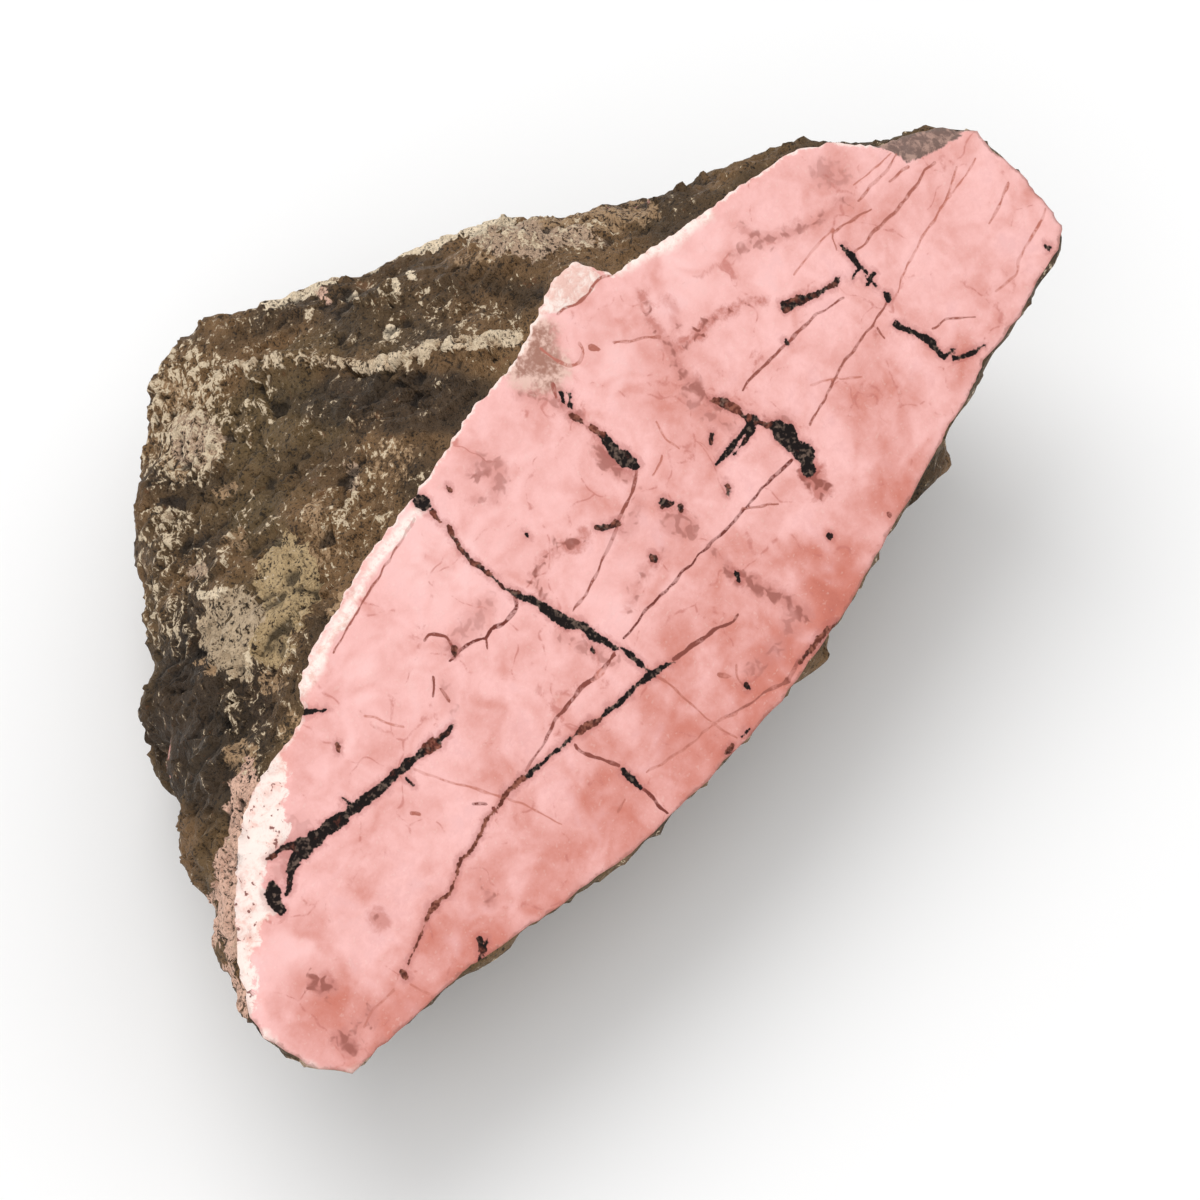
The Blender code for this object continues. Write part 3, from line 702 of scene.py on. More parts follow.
def break_rim(points, rim):
    """Ragged rim: drawn in a little, and broken down below the saw cut."""
    local = to_face(points)
    drop = rim_cut(local[:, :2], np.zeros(len(local)))
    local[:, 2] -= drop * np.exp(np.minimum(local[:, 2], 0.0) / RIM_FADE)
    loop = local[rim]
    tangent = np.roll(loop, -1, axis=0)[:, :2] - np.roll(loop, 1, axis=0)[:, :2]
    inward = beside(tangent)
    inward *= np.sign(-(inward * loop[:, :2]).sum(axis=1).mean())
    flat = on_plane(loop[:, :2])
    plain, bites, grain = RAGGED_EDGE
    ragged = plain + bites * np.abs(wave(flat, 1.5, 11)) + grain * wave(flat, 0.6, 12)
    local[rim, :2] += inward * np.maximum(ragged, 0.0)[:, None]
    return from_face(local)


def vein_line(pixels, widths):
    """A vein's wandering course on the face, and its half width at each point."""
    path = smooth_path(seen_on_face(pixels), VEIN_SPACING)
    flat = on_plane(path)
    stations = np.linspace(0.0, 1.0, len(widths))
    half = np.interp(np.linspace(0.0, 1.0, len(path)), stations, widths) * PIXEL / 2
    half *= 1.0 + WIDTH_CHANGE * wave(flat, WIDTH_CHANGE_SIZE, 61)
    return path + two_waves(flat, WANDER_SIZE, 62, 63) * VEIN_WANDER, half


def vein_rows():
    """Points along every vein, and rows of points beside it."""
    rows = []
    for pixels, widths, _ in INK_VEINS + RUST_LINES:
        path, half = vein_line(pixels, widths)
        side = beside(np.gradient(path, axis=0))
        reach = (half + VEIN_MARGIN)[:, None]
        rows += [path, path + side * reach, path - side * reach]
    return np.vstack(rows)


def thin_out(points, spacing, kept):
    """Points no closer than a spacing to each other or to the kept ones."""
    taken = {}
    result = []

    def crowded(point):
        cell = np.floor(point / spacing).astype(int)
        return any(np.hypot(*(point - other)) < spacing
                   for shift in product((-1, 0, 1), repeat=2)
                   for other in taken.get((cell[0] + shift[0], cell[1] + shift[1]), ()))

    for is_kept, point in [(True, p) for p in kept] + [(False, p) for p in points]:
        if is_kept or not crowded(point):
            taken.setdefault(tuple(np.floor(point / spacing).astype(int)), []).append(point)
            if not is_kept:
                result.append(point)
    return np.array(result)


def face_points(loop):
    """Points inside the rim: along the veins, and an even jittered grid between them."""
    low, high = loop.min(axis=0), loop.max(axis=0)
    u, v = np.meshgrid(np.arange(low[0], high[0], FACE_SPACING),
                       np.arange(low[1], high[1], FACE_SPACING * 0.866))
    u[1::2] += FACE_SPACING / 2
    grid = np.stack((u.ravel(), v.ravel()), axis=1)
    grid += np.random.default_rng(7).uniform(-FACE_JITTER, FACE_JITTER, grid.shape) * FACE_SPACING
    veins = thin_out(vein_rows(), VEIN_POINT_CLEARANCE, np.zeros((0, 2)))
    grid = thin_out(grid, VEIN_CLEARANCE, veins)
    places = np.vstack((veins, grid))
    places = places[inside(places, loop)]
    return places[path_distance(places, closed_path(loop))[0] > RIM_CLEARANCE]


def fill_face(points, rim):
    """Fill the sawn face with a mesh that shares the rim's vertices."""
    loop = to_face(points[rim])[:, :2]
    places = face_points(loop)
    count = len(rim)
    sides = [(i, (i + 1) % count) for i in range(count)]
    found = delaunay_2d_cdt([Vector(p) for p in np.vstack((loop, places))], sides, [], 1, 1e-7)
    faces, origin = found[2], found[3]
    numbers = np.array([rim[o[0]] if o[0] < count else len(points) + o[0] - count for o in origin])
    filled = np.array([numbers[list(face)] for face in faces])
    inner = path_distance(places, closed_path(loop))[0]
    flat = on_plane(places)
    drop = rim_cut(places, inner) + FACE_RIPPLE * (1.0 + wave(flat, 1.6, 21))
    ink = vein_gap(places, INK_VEINS)[0]
    rust = vein_gap(places, RUST_LINES)[0]
    drop += INK_SINK * smooth_step(-ink, -0.02, 0.12) + RUST_SINK * smooth_step(-rust, -0.02, 0.06)
    points = np.vstack((points, from_face(np.column_stack((places, -drop)))))
    backward = across(points, filled) @ OUT < 0.0
    filled[backward] = filled[backward][:, ::-1]
    return points, filled


def vein_gap(places, veins):
    """Signed distance to the edge of the nearest vein, and that vein's strength."""
    best = np.full(len(places), VEIN_REACH)
    strength = np.zeros(len(places))
    for pixels, widths, darkness in veins:
        path, half = vein_line(pixels, widths)
        reach = max(widths) * PIXEL + VEIN_REACH
        low, high = path.min(axis=0) - reach, path.max(axis=0) + reach
        close = np.flatnonzero(((places > low) & (places < high)).all(axis=1))
        away, along = path_distance(places[close], path)
        walked = np.cumsum(np.hypot(*np.diff(path, axis=0, prepend=path[:1]).T))
        gap = away - np.interp(along, walked, half)
        better = gap < best[close]
        best[close[better]] = gap[better]
        strength[close[better]] = darkness
    return best, strength


def soft_patches(places, patches):
    """Soft spots on the face: the strongest of them at each place."""
    flat = on_plane(places)
    warp = two_waves(flat, 3.0, 31, 37) * 0.5
    result = np.zeros(len(places))
    for pixel, wide, tall, strength in patches:
        middle = seen_on_face([pixel])[0]
        reach = (wide + tall) * PIXEL * SOFT_PATCH_SPREAD
        away = (((places - middle) / reach + warp) ** 2).sum(axis=1)
        result = np.maximum(result, strength * np.exp(-away))
    return result


# ================================================================ the crust
def crust_mesh():
    """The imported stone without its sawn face, cut finer where the camera sees it best."""
    points, triangles = read_node(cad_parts[NODE])
    facing = unit_rows(across(points, triangles))
    height = np.abs(to_face(points)[:, 2])
    sawn = (facing @ OUT > 0.99) & (height[triangles].max(axis=1) < 0.03)
    points, triangles = drop_unused(points, triangles[~sawn])
    for way, least in ((UP, -2.0), (UP, LOOKS_UP), (TO_CAMERA, LOOKS_AT_CAMERA)):
        facing = normals_of(points, triangles)[triangles].mean(axis=1)
        points, triangles = split(points, triangles, facing @ way > least)
        points = relax(points, triangles, RELAX_SHARE, rim_of(triangles))
    return points, triangles


def ledge_band(pixels, seen):
    """1 along the ledge's crystals, 0 away from them."""
    away = path_distance(pixels, np.array(LEDGE))[0]
    return smooth_step(-away, -LEDGE_HALF_WIDTH * 1.5, -LEDGE_HALF_WIDTH * 0.6) * seen


def crust_relief(points, band):
    """Fine relief of the broken rock, and a draw for each crystal of the ledge."""
    big = facets(points, BIG_FACETS[0], 4)[0] * BIG_FACETS[0] * BIG_FACETS[1]
    small = facets(points * (1.0, 1.0, 0.8), SMALL_FACETS[0], 7)[0]
    grain = wave(points, GRAIN_SIZE, 1) + 0.5 * wave(points, GRAIN_SIZE / 2, 2)
    ridge = 1.0 - 2.0 * np.abs(wave(points * (1.2, 1.2, 0.7), RIDGE_SIZE, 3))
    pits = smooth_step(wave(points, PIT_SIZE, 9) + 0.25 * wave(points, 0.8, 10), 0.30, 0.75)
    coarse = smooth_step(wave(points, 7.0, 5), -0.5, 0.4)
    relief = big + small * SMALL_FACETS[0] * SMALL_FACETS[1] * (0.5 + coarse)
    relief += grain * GRAIN_HEIGHT + ridge * RIDGE_HEIGHT * (0.4 + 0.8 * coarse)
    relief -= pits * PIT_DEPTH
    blocks, block_draw = facets(points, LEDGE_SIZE, 14)
    raised = (block_draw + 0.6 * blocks - 0.2) * LEDGE_HEIGHT
    relief = relief * (1.0 - 0.6 * band) + raised * band
    return np.clip(relief, *RELIEF_RANGE), block_draw


def linear(colour):
    """Linear light from 8-bit display values."""
    values = np.array(colour) / 255.0
    return np.where(values <= 0.04045, values / 12.92, ((values + 0.055) / 1.055) ** 2.4)


def oval(places, middle, wide, tall):
    """1 well inside an oval, falling to 0 past its edge."""
    away = (((places - np.array(middle)) / (wide, tall)) ** 2).sum(axis=1)
    return smooth_step(-away, -1.5, -0.6)


def blend(colours, colour, share):
    return colours + (linear(colour) - colours) * share[:, None]


def crust_colours(points, pixels, facing, band, block_draw):
    """At each vertex: ground colour, patch colour, and how much of the patch shows."""
    seen = smooth_step(facing, 0.0, 0.25)
    broad = smooth_step(wave(points, 6.5, 41) + 0.5 * wave(points, 2.6, 42), -0.6, 0.6)
    ground = blend(np.tile(linear(DARK), (len(points), 1)), BROWN, broad)
    ground = blend(ground, OLIVE, 0.6 * smooth_step(wave(points, 9.0, 43), -0.1, 0.5))
    bend = two_waves(points, 2.4, 51, 52) * 3.0 + two_waves(points, 0.7, 53, 54) * 1.5
    for middle, wide, tall, colour, strength in CRUST_TONES:
        ground = blend(ground, colour, oval(pixels + bend, middle, wide, tall) * seen * strength)

    patch = np.tile(linear(TAN), (len(points), 1))
    cover = np.zeros(len(points))

    def lay(colour, share):
        wins = share > cover
        patch[wins] = colour[wins] if isinstance(colour, np.ndarray) else linear(colour)
        cover[wins] = share[wins]

    draw = np.random.default_rng(11)
    hidden = draw.uniform(*HIDDEN_PATCH_BOX, (HIDDEN_PATCH_COUNT, 3))
    for number, middle in enumerate(hidden):
        away = np.linalg.norm(points - middle, axis=1) / draw.uniform(*HIDDEN_PATCH_RADIUS)
        share = smooth_step(-away - 0.1 * bend[:, 0], -1.2, -0.6)
        share *= draw.uniform(*HIDDEN_PATCH_COVER)
        lay(HIDDEN_PATCH_COLOURS[number % len(HIDDEN_PATCH_COLOURS)], share * (1.0 - seen))
    for middle, wide, tall, colour, strength in CRUST_PATCHES:
        size = min(1.0, min(wide, tall) / 6.0)
        lay(colour, oval(pixels + bend * size, middle, wide, tall) * seen * strength)
    # pale crust with a painted highlight along the top edge
    strip = path_distance(pixels + bend, np.array(TOP_STRIP_AND_RIM_HIGHLIGHT))[0] / TOP_STRIP_HALF_WIDTH
    lay(CREAM, smooth_step(-strip, -1.6, -0.8) * smooth_step(facing, -0.45, -0.15))
    crystals = linear(TAN) + (linear(CREAM) - linear(TAN)) * block_draw[:, None]
    weaker = 0.5 + 0.5 * smooth_step(pixels[:, 0], 628.0, 652.0)
    lay(crystals, band * smooth_step(block_draw, 0.15, 0.40) * weaker)
    return ground, patch, cover


def fleck_density(pixels, seen):
    """How closely pale flecks crowd at each vertex."""
    density = FLECKS_HIDDEN + (FLECKS_IN_VIEW - FLECKS_HIDDEN) * seen
    for middle, wide, tall, strength in FLECK_PLACES:
        density = np.maximum(density, oval(pixels, middle, wide, tall) * strength * seen)
    return density


def add_fields(mesh, vertices, fields):
    """Store three numbers under each name for some of the vertices, and 0 for the rest."""
    for name, values in fields.items():
        padded = np.zeros((len(mesh.vertices), 3), dtype=np.float32)
        padded[vertices] = values
        field = mesh.attributes.new(name, "FLOAT_VECTOR", "POINT")
        field.data.foreach_set("vector", padded.ravel())


def add_face_fields(mesh, points, filled, rim):
    """Distances to the veins and areas, for every vertex of the sawn face."""
    places = to_face(points)[:, :2]
    on_face = np.unique(filled)
    here = places[on_face]
    inner = path_distance(here, closed_path(places[rim]))[0]
    ink, rust, haze = (vein_gap(here, veins) for veins in (INK_VEINS, RUST_LINES, HAZES))
    white = np.max([line_closeness(here, line, WHITE_RIM_REACH) for line in WHITE_RIMS], axis=0)
    chamfer = line_closeness(here, CHAMFER, CHAMFER_WHITE_REACH) * (inner < CHAMFER_WHITE_WIDTH)
    rim_white = np.maximum(white, chamfer)
    # the upper side of the face: there the rim gets a painted highlight, and the lower side a
    # painted shadow
    lit_upper_side = smooth_step(here[:, 1], -1.0, 3.0)
    fields = {
        "gaps": (ink[0], rust[0], haze[0]),
        "strengths": (ink[1], rust[1], haze[1]),
        "areas": tuple(area_gap(here, area) for area in (CREAM_CHIP, MATRIX_PATCH, BROKEN_PATCH)),
        "tones": (soft_patches(here, WARM_AND_SHADED_PLACES), soft_patches(here, PALE_PLACES), inner),
        "rims": (rim_white, area_gap(here, DARK_TOP), lit_upper_side),
    }
    add_fields(mesh, on_face, {name: np.stack(values, axis=1) for name, values in fields.items()})


def make_stone():
    """The whole stone as one closed mesh: the finer crust, and the face filled to its rim."""
    points, triangles = crust_mesh()
    rim = rim_of(triangles)
    normals = normals_of(points, triangles)
    pixels = pixel_of(points)
    facing = normals @ TO_CAMERA
    seen = smooth_step(facing, 0.0, 0.25)
    band = ledge_band(pixels, seen)
    relief, block_draw = crust_relief(points, band)
    relief *= smooth_step(-to_face(points)[:, 2], 0.0, RIM_CALM)
    relief *= 0.45 + 0.55 * smooth_step(np.abs(facing), 0.0, 0.35)
    ground, patch, cover = crust_colours(points, pixels, facing, band, block_draw)
    flecks = fleck_density(pixels, seen)
    across = CAMERA_RIGHT + STREAK_LEAN * CAMERA_UP
    upward = CAMERA_UP - STREAK_LEAN * CAMERA_RIGHT
    streak_axes = np.array((across, upward * STREAK_STRETCH[0], TO_CAMERA * STREAK_STRETCH[1]))
    streak_place = points @ streak_axes.T
    points = points + normals * relief[:, None]
    points = break_rim(points, rim)
    crust_count = len(points)
    points, filled = fill_face(points, rim)
    low, high = (np.array(corner) / MM for corner in CAD_BOX)
    points = np.clip(points, low, high)

    mesh = bpy.data.meshes.new("rhodonite_rough")
    every = np.vstack((triangles, filled))
    mesh.from_pydata((points * MM).tolist(), [], every.tolist())
    materials = np.concatenate((np.zeros(len(triangles)), np.ones(len(filled)))).astype(np.int32)
    mesh.polygons.foreach_set("material_index", materials)
    mesh.polygons.foreach_set("use_smooth", np.ones(len(every), dtype=bool))
    add_fields(mesh, np.arange(crust_count), {
        "ground": ground,
        "streak_place": streak_place,
        "patch": patch,
        "crust": np.stack((relief, cover, flecks), axis=1),
    })
    add_face_fields(mesh, points, filled, rim)
    mesh.materials.append(crust_material())
    mesh.materials.append(rhodonite_material())

    stone = bpy.data.objects.new("rhodonite_rough", mesh)
    bpy.context.scene.collection.objects.link(stone)
    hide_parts(NODE)
    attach(stone, "root")


# ================================================================ materials
# Colours of the sawn face, as 8-bit display values
PALE_PINK, SALMON, DEEP_SALMON = (252, 196, 192), (205, 120, 103), (174, 90, 76)
MAUVE, LIGHT_PINK, GLINT = (218, 156, 156), (255, 210, 206), (255, 222, 214)
CRACK, STAIN, CLOT = (192, 112, 102), (200, 126, 116), (146, 78, 66)
MATRIX_PALE, MATRIX_BROWN, BROKEN_WHITE = (228, 194, 178), (148, 106, 86), (252, 236, 227)
# the middle colour on the next line is a painted shadow along the lower rim of the face
BROKEN_PINK, LOWER_EDGE_SHADOW, CRUMB = (236, 194, 182), (150, 88, 74), (128, 72, 64)
SCORCH_DARK, SCORCH_PALE, RUST_PALE = (98, 80, 70), (164, 134, 120), (194, 116, 100)
RUST_DARK, VEIN_HALO, VEIN_BROWN = (112, 42, 30), (172, 90, 82), (104, 53, 42)
VEIN_TAN, MANGANESE, MANGANESE_GREY = (148, 90, 74), (26, 19, 18), (104, 86, 76)
# Colours of the crust
PATCH_SHADE, PALE_GRIT, FLECK = (84, 66, 50), (146, 119, 86), (222, 202, 172)
# painted shade: the first colour below darkens the bump's low spots together with dark grit, the
# last darkens the relief's hollows
DARK_GRIT_AND_SHADE, RUSTY_EARTH, HOLLOW_SHADE = (28, 22, 16), (112, 72, 42), (26, 21, 17)
# Grain sizes of the noise in millimetres, from broad to fine
CLOUD, TEAR, CLOT_SIZE, SPECK = 3.4, 0.95, 0.75, 0.34
BLOTCH, STREAK, GRIT = 1.6, 0.50, 0.22
CRACKED_CELL = 6.5


class Graph:
    """Short names for the shader nodes that the materials are built from."""

    def __init__(self, name):
        self.material = bpy.data.materials.new(name)
        self.material.use_nodes = True
        self.nodes = self.material.node_tree.nodes
        self.links = self.material.node_tree.links
        self.shader = self.nodes["Principled BSDF"]
        self.place = self.scaled(self.nodes.new("ShaderNodeTexCoord").outputs["Object"], 1 / MM)

    def plug(self, socket, value):
        if isinstance(value, bpy.types.NodeSocket):
            self.links.new(value, socket)
        else:
            socket.default_value = value

    def scaled(self, vector, size):
        node = self.nodes.new("ShaderNodeVectorMath")
        node.operation = "MULTIPLY"
        self.plug(node.inputs[0], vector)
        node.inputs[1].default_value = size if isinstance(size, tuple) else (size,) * 3
        return node.outputs[0]

    def maths(self, operation, a, b=0.0):
        node = self.nodes.new("ShaderNodeMath")
        node.operation = operation
        self.plug(node.inputs[0], a)
        self.plug(node.inputs[1], b)
        return node.outputs[0]

    def times(self, a, b):
        return self.maths("MULTIPLY", a, b)

    def plus(self, a, b):
        return self.maths("ADD", a, b)

    def most(self, a, b):
        return self.maths("MAXIMUM", a, b)

    def stored(self, name):
        """What the mesh stores under a name."""
        node = self.nodes.new("ShaderNodeAttribute")
        node.attribute_name = name
        return node.outputs["Vector"]

    def field(self, name):
        """The three numbers stored on the mesh under a name."""
        parts = self.nodes.new("ShaderNodeSeparateXYZ")
        self.links.new(self.stored(name), parts.inputs[0])
        return parts.outputs[0], parts.outputs[1], parts.outputs[2]

    def noise(self, place, size, detail=2.0, roughness=0.5, distortion=0.0):
        """Noise from 0 to 1, mostly near 0.5."""
        node = self.nodes.new("ShaderNodeTexNoise")
        node.inputs["Scale"].default_value = 1.0 / size
        node.inputs["Detail"].default_value = detail
        node.inputs["Roughness"].default_value = roughness
        node.inputs["Distortion"].default_value = distortion
        self.plug(node.inputs["Vector"], place)
        return node.outputs["Fac"]

    def cracks(self, size):
        """Distance, in cells, to the nearest edge of bent cells of about a given size."""
        bend = self.nodes.new("ShaderNodeTexNoise")
        bend.inputs["Scale"].default_value = 1.6 / size
        self.plug(bend.inputs["Vector"], self.place)
        moved = self.nodes.new("ShaderNodeVectorMath")
        moved.operation = "ADD"
        self.plug(moved.inputs[0], self.place)
        self.plug(moved.inputs[1], self.scaled(bend.outputs["Color"], 0.9 * size))
        cells = self.nodes.new("ShaderNodeTexVoronoi")
        cells.feature = "DISTANCE_TO_EDGE"
        cells.inputs["Scale"].default_value = 1.0 / size
        self.plug(cells.inputs["Vector"], moved.outputs[0])
        return cells.outputs["Distance"]

    def band(self, value, low, high, to_low=0.0, to_high=1.0):
        """Smooth step of a value from one number to another."""
        node = self.nodes.new("ShaderNodeMapRange")
        node.interpolation_type = "SMOOTHSTEP"
        for name, number in (("From Min", low), ("From Max", high), ("To Min", to_low),
                             ("To Max", to_high)):
            node.inputs[name].default_value = number
        self.plug(node.inputs["Value"], value)
        return node.outputs[0]

    def mix(self, share, a, b):
        """One colour over another by a share; colours may be 8-bit display values."""
        node = self.nodes.new("ShaderNodeMix")
        node.data_type = "RGBA"
        self.plug(node.inputs["Factor"], share)
        sockets = [socket for socket in node.inputs if socket.type == "RGBA"]
        for socket, colour in zip(sockets, (a, b)):
            self.plug(socket, (*linear(colour), 1.0) if isinstance(colour, tuple) else colour)
        return next(socket for socket in node.outputs if socket.type == "RGBA")

    def bump(self, height, distance, strength):
        node = self.nodes.new("ShaderNodeBump")
        node.inputs["Strength"].default_value = strength
        node.inputs["Distance"].default_value = distance * MM
        self.plug(node.inputs["Height"], height)
        return node.outputs[0]


def rhodonite_material():
    """Pink rhodonite, sawn: mottled pink, cream where broken, veined with manganese."""
    graph = Graph("sawn_rhodonite")
    times, plus, most = graph.times, graph.plus, graph.most
    ink_gap, rust_gap, haze_gap = graph.field("gaps")
    ink_dark, rust_dark, haze_dark = graph.field("strengths")
    cream_gap, matrix_gap, broken_gap = graph.field("areas")
    warm_and_shaded, pale, inner = graph.field("tones")
    rim_white, dark_gap, lit_upper_side = graph.field("rims")

    middle = plus(graph.noise(graph.place, CLOUD, 2.0, 0.6, 0.5), -0.5)
    torn = plus(graph.noise(graph.place, TEAR, 3.0, 0.72, 0.3), -0.5)
    fine = plus(graph.noise(graph.place, SPECK, 1.0, 0.6), -0.5)
    clots = plus(graph.noise(graph.place, CLOT_SIZE, 1.0, 0.5, 0.6), -0.5)

    # pink ground: warmer and deeper in places, towards the lower right partly as painted shade,
    # lighter in others
    depth = plus(plus(warm_and_shaded, times(middle, 1.5)), plus(times(torn, 0.45), times(fine, 0.2)))
    colour = graph.mix(graph.band(depth, -0.42, 1.0), PALE_PINK, SALMON)
    colour = graph.mix(graph.band(depth, 0.80, 1.45, 0.0, 0.8), colour, DEEP_SALMON)
    mauve = graph.band(plus(times(middle, -2.0), times(torn, 0.9)), 0.12, 0.62, 0.0, 0.36)
    colour = graph.mix(mauve, colour, MAUVE)
    light = plus(pale, plus(times(middle, -1.3), times(torn, 1.1)))
    colour = graph.mix(graph.band(light, 0.20, 1.05, 0.0, 0.65), colour, LIGHT_PINK)
    colour = graph.mix(graph.band(fine, 0.10, 0.26, 0.0, 0.18), colour, GLINT)
    crack = times(graph.band(graph.cracks(CRACKED_CELL), 0.004, 0.024, 1.0, 0.0),
                  graph.band(plus(middle, torn), -0.02, 0.22, 0.0, 0.60))
    colour = graph.mix(crack, colour, CRACK)

    # smears, and areas with a ground of their own
    haze_edge = plus(haze_gap, plus(times(middle, 1.4), times(torn, 2.2)))
    haze = graph.band(haze_edge, -0.45, 0.50, 1.0, 0.0)
    colour = graph.mix(times(haze, times(haze_dark, 1.5)), colour, STAIN)
    core = graph.band(plus(haze_gap, times(clots, 3.4)), -0.70, -0.10, 1.0, 0.0)
    colour = graph.mix(times(core, times(haze_dark, 1.35)), colour, CLOT)
    matrix = graph.band(plus(matrix_gap, times(torn, 3.0)), -0.7, 0.8, 0.80, 0.0)
    matrix_tone = graph.mix(graph.band(plus(plus(torn, middle), times(fine, 0.5)), -0.12, 0.26),
                            MATRIX_PALE, MATRIX_BROWN)
    colour = graph.mix(matrix, colour, matrix_tone)
    cream = graph.band(plus(cream_gap, times(torn, 0.5)), -0.1, 0.12, 0.95, 0.0)
    broken = graph.band(plus(broken_gap, times(torn, 2.0)), -0.15, 0.15, 0.92, 0.0)
    edge = times(rim_white, graph.band(plus(torn, fine), -0.30, -0.02, 0.35, 1.0))
    rim = graph.band(plus(inner, times(torn, 0.9)), 0.02, 0.26, 1.0, 0.0)
    # pale broken edges with a painted highlight: the rim of the face is whitened on its lit upper
    # side
    white = most(most(cream, broken), most(edge, times(times(rim, lit_upper_side), 0.75)))
    white_tone = graph.mix(graph.band(plus(torn, times(middle, 0.8)), -0.08, 0.22),
                           BROKEN_WHITE, BROKEN_PINK)
    colour = graph.mix(white, colour, white_tone)
    # painted shadow: a brown line along the lower side of the face's rim
    lower_edge_shadow = times(rim, graph.maths("SUBTRACT", 0.55, times(lit_upper_side, 0.55)))
    colour = graph.mix(lower_edge_shadow, colour, LOWER_EDGE_SHADOW)
    crumbs = times(broken, graph.band(plus(fine, times(torn, 1.4)), 0.18, 0.30))
    colour = graph.mix(crumbs, colour, CRUMB)
    scorched = graph.band(plus(dark_gap, times(torn, 0.8)), -0.10, 0.12, 0.92, 0.0)
    scorch_tone = graph.mix(graph.band(torn, -0.06, 0.14), SCORCH_DARK, SCORCH_PALE)
    colour = graph.mix(scorched, colour, scorch_tone)

    # veins
    rust = graph.band(plus(rust_gap, times(torn, 0.26)), -0.045, 0.05, 1.0, 0.0)
    rust = times(rust, plus(times(rust_dark, 0.5), 0.42))
    rust = times(rust, graph.band(plus(torn, times(middle, 0.5)), -0.16, 0.10, 0.55, 1.6))
    rust_tone = graph.mix(graph.band(rust_dark, 0.32, 0.88), RUST_PALE, RUST_DARK)
    colour = graph.mix(rust, colour, rust_tone)
    halo = graph.band(plus(ink_gap, times(torn, 1.6)), 0.0, 0.50, 0.42, 0.0)
    colour = graph.mix(halo, colour, VEIN_HALO)
    ink_edge = plus(ink_gap, plus(times(torn, 0.60), times(fine, 0.26)))
    ink = graph.band(ink_edge, -0.045, 0.06, 1.0, 0.0)
    brown = graph.mix(graph.band(fine, -0.12, 0.15), VEIN_BROWN, VEIN_TAN)
    black = graph.mix(graph.band(plus(fine, torn), -0.02, 0.26), MANGANESE, MANGANESE_GREY)
    ink_tone = graph.mix(graph.band(plus(ink_dark, torn), 0.50, 0.82), brown, black)
    colour = graph.mix(ink, colour, ink_tone)

    graph.plug(graph.shader.inputs["Base Color"], colour)
    roughness = plus(graph.band(fine, -0.3, 0.3, 0.46, 0.58), times(most(ink, white), 0.2))
    graph.plug(graph.shader.inputs["Roughness"], roughness)
    graph.plug(graph.shader.inputs["Specular IOR Level"], graph.band(ink, 0.0, 1.0, 0.38, 0.12))
    height = plus(times(fine, 0.35), times(torn, plus(times(most(white, ink), 2.0), 0.35)))
    graph.plug(graph.shader.inputs["Normal"], graph.bump(height, 0.14, 0.6))
    return graph.material


def crust_material():
    """Weathered crust: granular dark olive-brown with pale patches, flecks and streaks."""
    graph = Graph("weathered_crust")
    times, plus = graph.times, graph.plus
    relief, cover, flecks = graph.field("crust")

    streak = plus(graph.noise(graph.stored("streak_place"), STREAK, 3.0, 0.70, 0.4), -0.5)
    blotch = plus(graph.noise(graph.place, BLOTCH, 2.0, 0.62, 0.4), -0.5)
    grit = plus(graph.noise(graph.place, GRIT, 1.0, 0.6), -0.5)

    torn = plus(times(streak, 2.8), plus(times(blotch, 1.6), times(grit, 0.8)))
    shown = times(graph.band(plus(times(cover, 1.15), torn), 0.34, 0.70),
                  graph.band(cover, 0.0, 0.35))
    patch_tone = graph.mix(graph.band(plus(streak, grit), -0.24, 0.06, 0.50, 0.0),
                           graph.stored("patch"), PATCH_SHADE)
    colour = graph.mix(shown, graph.stored("ground"), patch_tone)

    lift = plus(plus(times(streak, 3.2), times(blotch, 1.8)), plus(grit, times(relief, 0.5)))
    lift = plus(lift, times(plus(flecks, -0.5), 0.85))
    colour = graph.mix(graph.band(lift, 0.20, 0.62, 0.0, 0.42), colour, PALE_GRIT)
    colour = graph.mix(graph.band(lift, 0.46, 0.74, 0.0, 0.90), colour, FLECK)
    # dark grit with painted shade: darker where the streak, grit and blotch noise is lowest, the
    # same noise that sinks the bump
    shade = plus(plus(times(streak, 2.2), times(grit, 2.0)), times(blotch, 0.8))
    colour = graph.mix(graph.band(shade, -0.14, -0.55, 0.0, 0.80), colour, DARK_GRIT_AND_SHADE)
    rusty = graph.band(plus(blotch, times(grit, -0.5)), 0.16, 0.26, 0.0, 0.45)
    colour = graph.mix(rusty, colour, RUSTY_EARTH)
    # painted shade: the crust is darkened in the pits and hollows of its relief
    painted_hollow_shade = graph.band(relief, -0.15, -0.50, 0.0, 0.75)
    colour = graph.mix(painted_hollow_shade, colour, HOLLOW_SHADE)

    graph.plug(graph.shader.inputs["Base Color"], colour)
    graph.plug(graph.shader.inputs["Roughness"], graph.band(streak, -0.15, 0.2, 0.80, 0.5))
    graph.plug(graph.shader.inputs["Specular IOR Level"], 0.3)
    height = plus(times(streak, 1.3), plus(times(blotch, 0.6), times(grit, 0.6)))
    graph.plug(graph.shader.inputs["Normal"], graph.bump(height, 0.38, 1.0))
    return graph.material


# ================================================================ floor, light, camera
# The lengths in this section are in metres.
FLOOR_HALF, FLOOR_GREY = 1.5, 0.92
WORLD_STRENGTH = 0.79
# Each light: name, azimuth, elevation, distance, size and power in watts
LIGHTS = [("key", 165.0, 62.0, 0.9, 0.8, 2.9), ("fill", -70.0, 40.0, 1.0, 0.8, 1.7)]
AIM_HEIGHT = 0.02


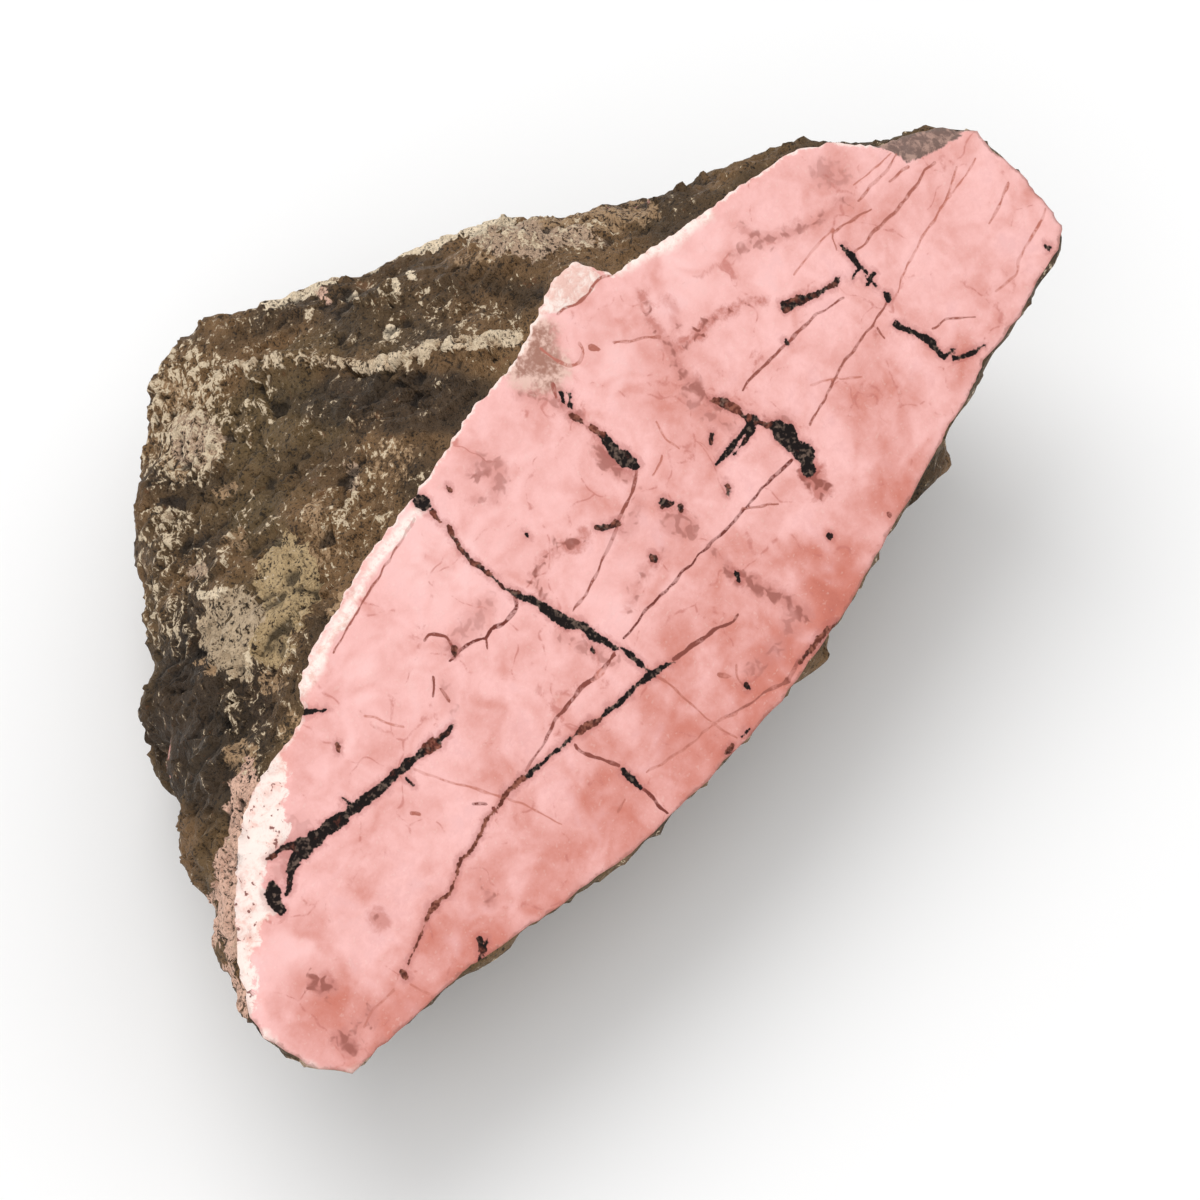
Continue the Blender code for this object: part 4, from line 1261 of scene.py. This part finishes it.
def make_floor():
    material = bpy.data.materials.new("pale_floor")
    material.use_nodes = True
    shader = material.node_tree.nodes["Principled BSDF"]
    shader.inputs["Base Color"].default_value = (FLOOR_GREY, FLOOR_GREY, FLOOR_GREY, 1.0)
    shader.inputs["Roughness"].default_value = 0.9
    mesh = bpy.data.meshes.new("floor")
    ends = ((-1, -1), (1, -1), (1, 1), (-1, 1))
    corners = [(x * FLOOR_HALF, y * FLOOR_HALF, 0.0) for x, y in ends]
    mesh.from_pydata(corners, [], [(0, 1, 2, 3)])
    mesh.materials.append(material)
    floor = bpy.data.objects.new("floor", mesh)
    bpy.context.scene.collection.objects.link(floor)


def aim(thing, target):
    thing.rotation_euler = (target - thing.location).to_track_quat("-Z", "Y").to_euler()


def make_light(name, azimuth, elevation, distance, size, power):
    data = bpy.data.lights.new(name, "AREA")
    data.shape = "DISK"
    data.size = size
    data.energy = power
    light = bpy.data.objects.new(name, data)
    light.location = Vector(direction(azimuth, elevation)) * distance
    aim(light, Vector((0.0, 0.0, AIM_HEIGHT)))
    bpy.context.scene.collection.objects.link(light)


def make_world():
    world = bpy.data.worlds.new("studio")
    world.use_nodes = True
    background = world.node_tree.nodes["Background"]
    background.inputs["Color"].default_value = (1.0, 1.0, 1.0, 1.0)
    background.inputs["Strength"].default_value = WORLD_STRENGTH
    bpy.context.scene.world = world


def make_camera():
    data = bpy.data.cameras.new("camera")
    data.sensor_width = SENSOR_WIDTH
    data.lens = SENSOR_WIDTH * CAMERA_DISTANCE / FRAME_WIDTH
    camera = bpy.data.objects.new("camera", data)
    camera.location = Vector(CAMERA) * MM
    aim(camera, Vector(FACE_CENTRE) * MM)
    bpy.context.scene.collection.objects.link(camera)
    bpy.context.scene.camera = camera


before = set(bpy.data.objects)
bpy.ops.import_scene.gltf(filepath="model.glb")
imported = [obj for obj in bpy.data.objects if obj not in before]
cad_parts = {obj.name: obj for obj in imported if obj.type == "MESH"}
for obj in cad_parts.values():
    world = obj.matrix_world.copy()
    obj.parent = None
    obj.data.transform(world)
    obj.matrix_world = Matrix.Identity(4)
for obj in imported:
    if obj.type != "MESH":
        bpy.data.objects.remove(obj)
CAD_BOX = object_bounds()
bpy.context.scene.view_settings.view_transform = "Standard"
make_camera()
make_world()
for light in LIGHTS:
    make_light(*light)
make_floor()
make_stone()
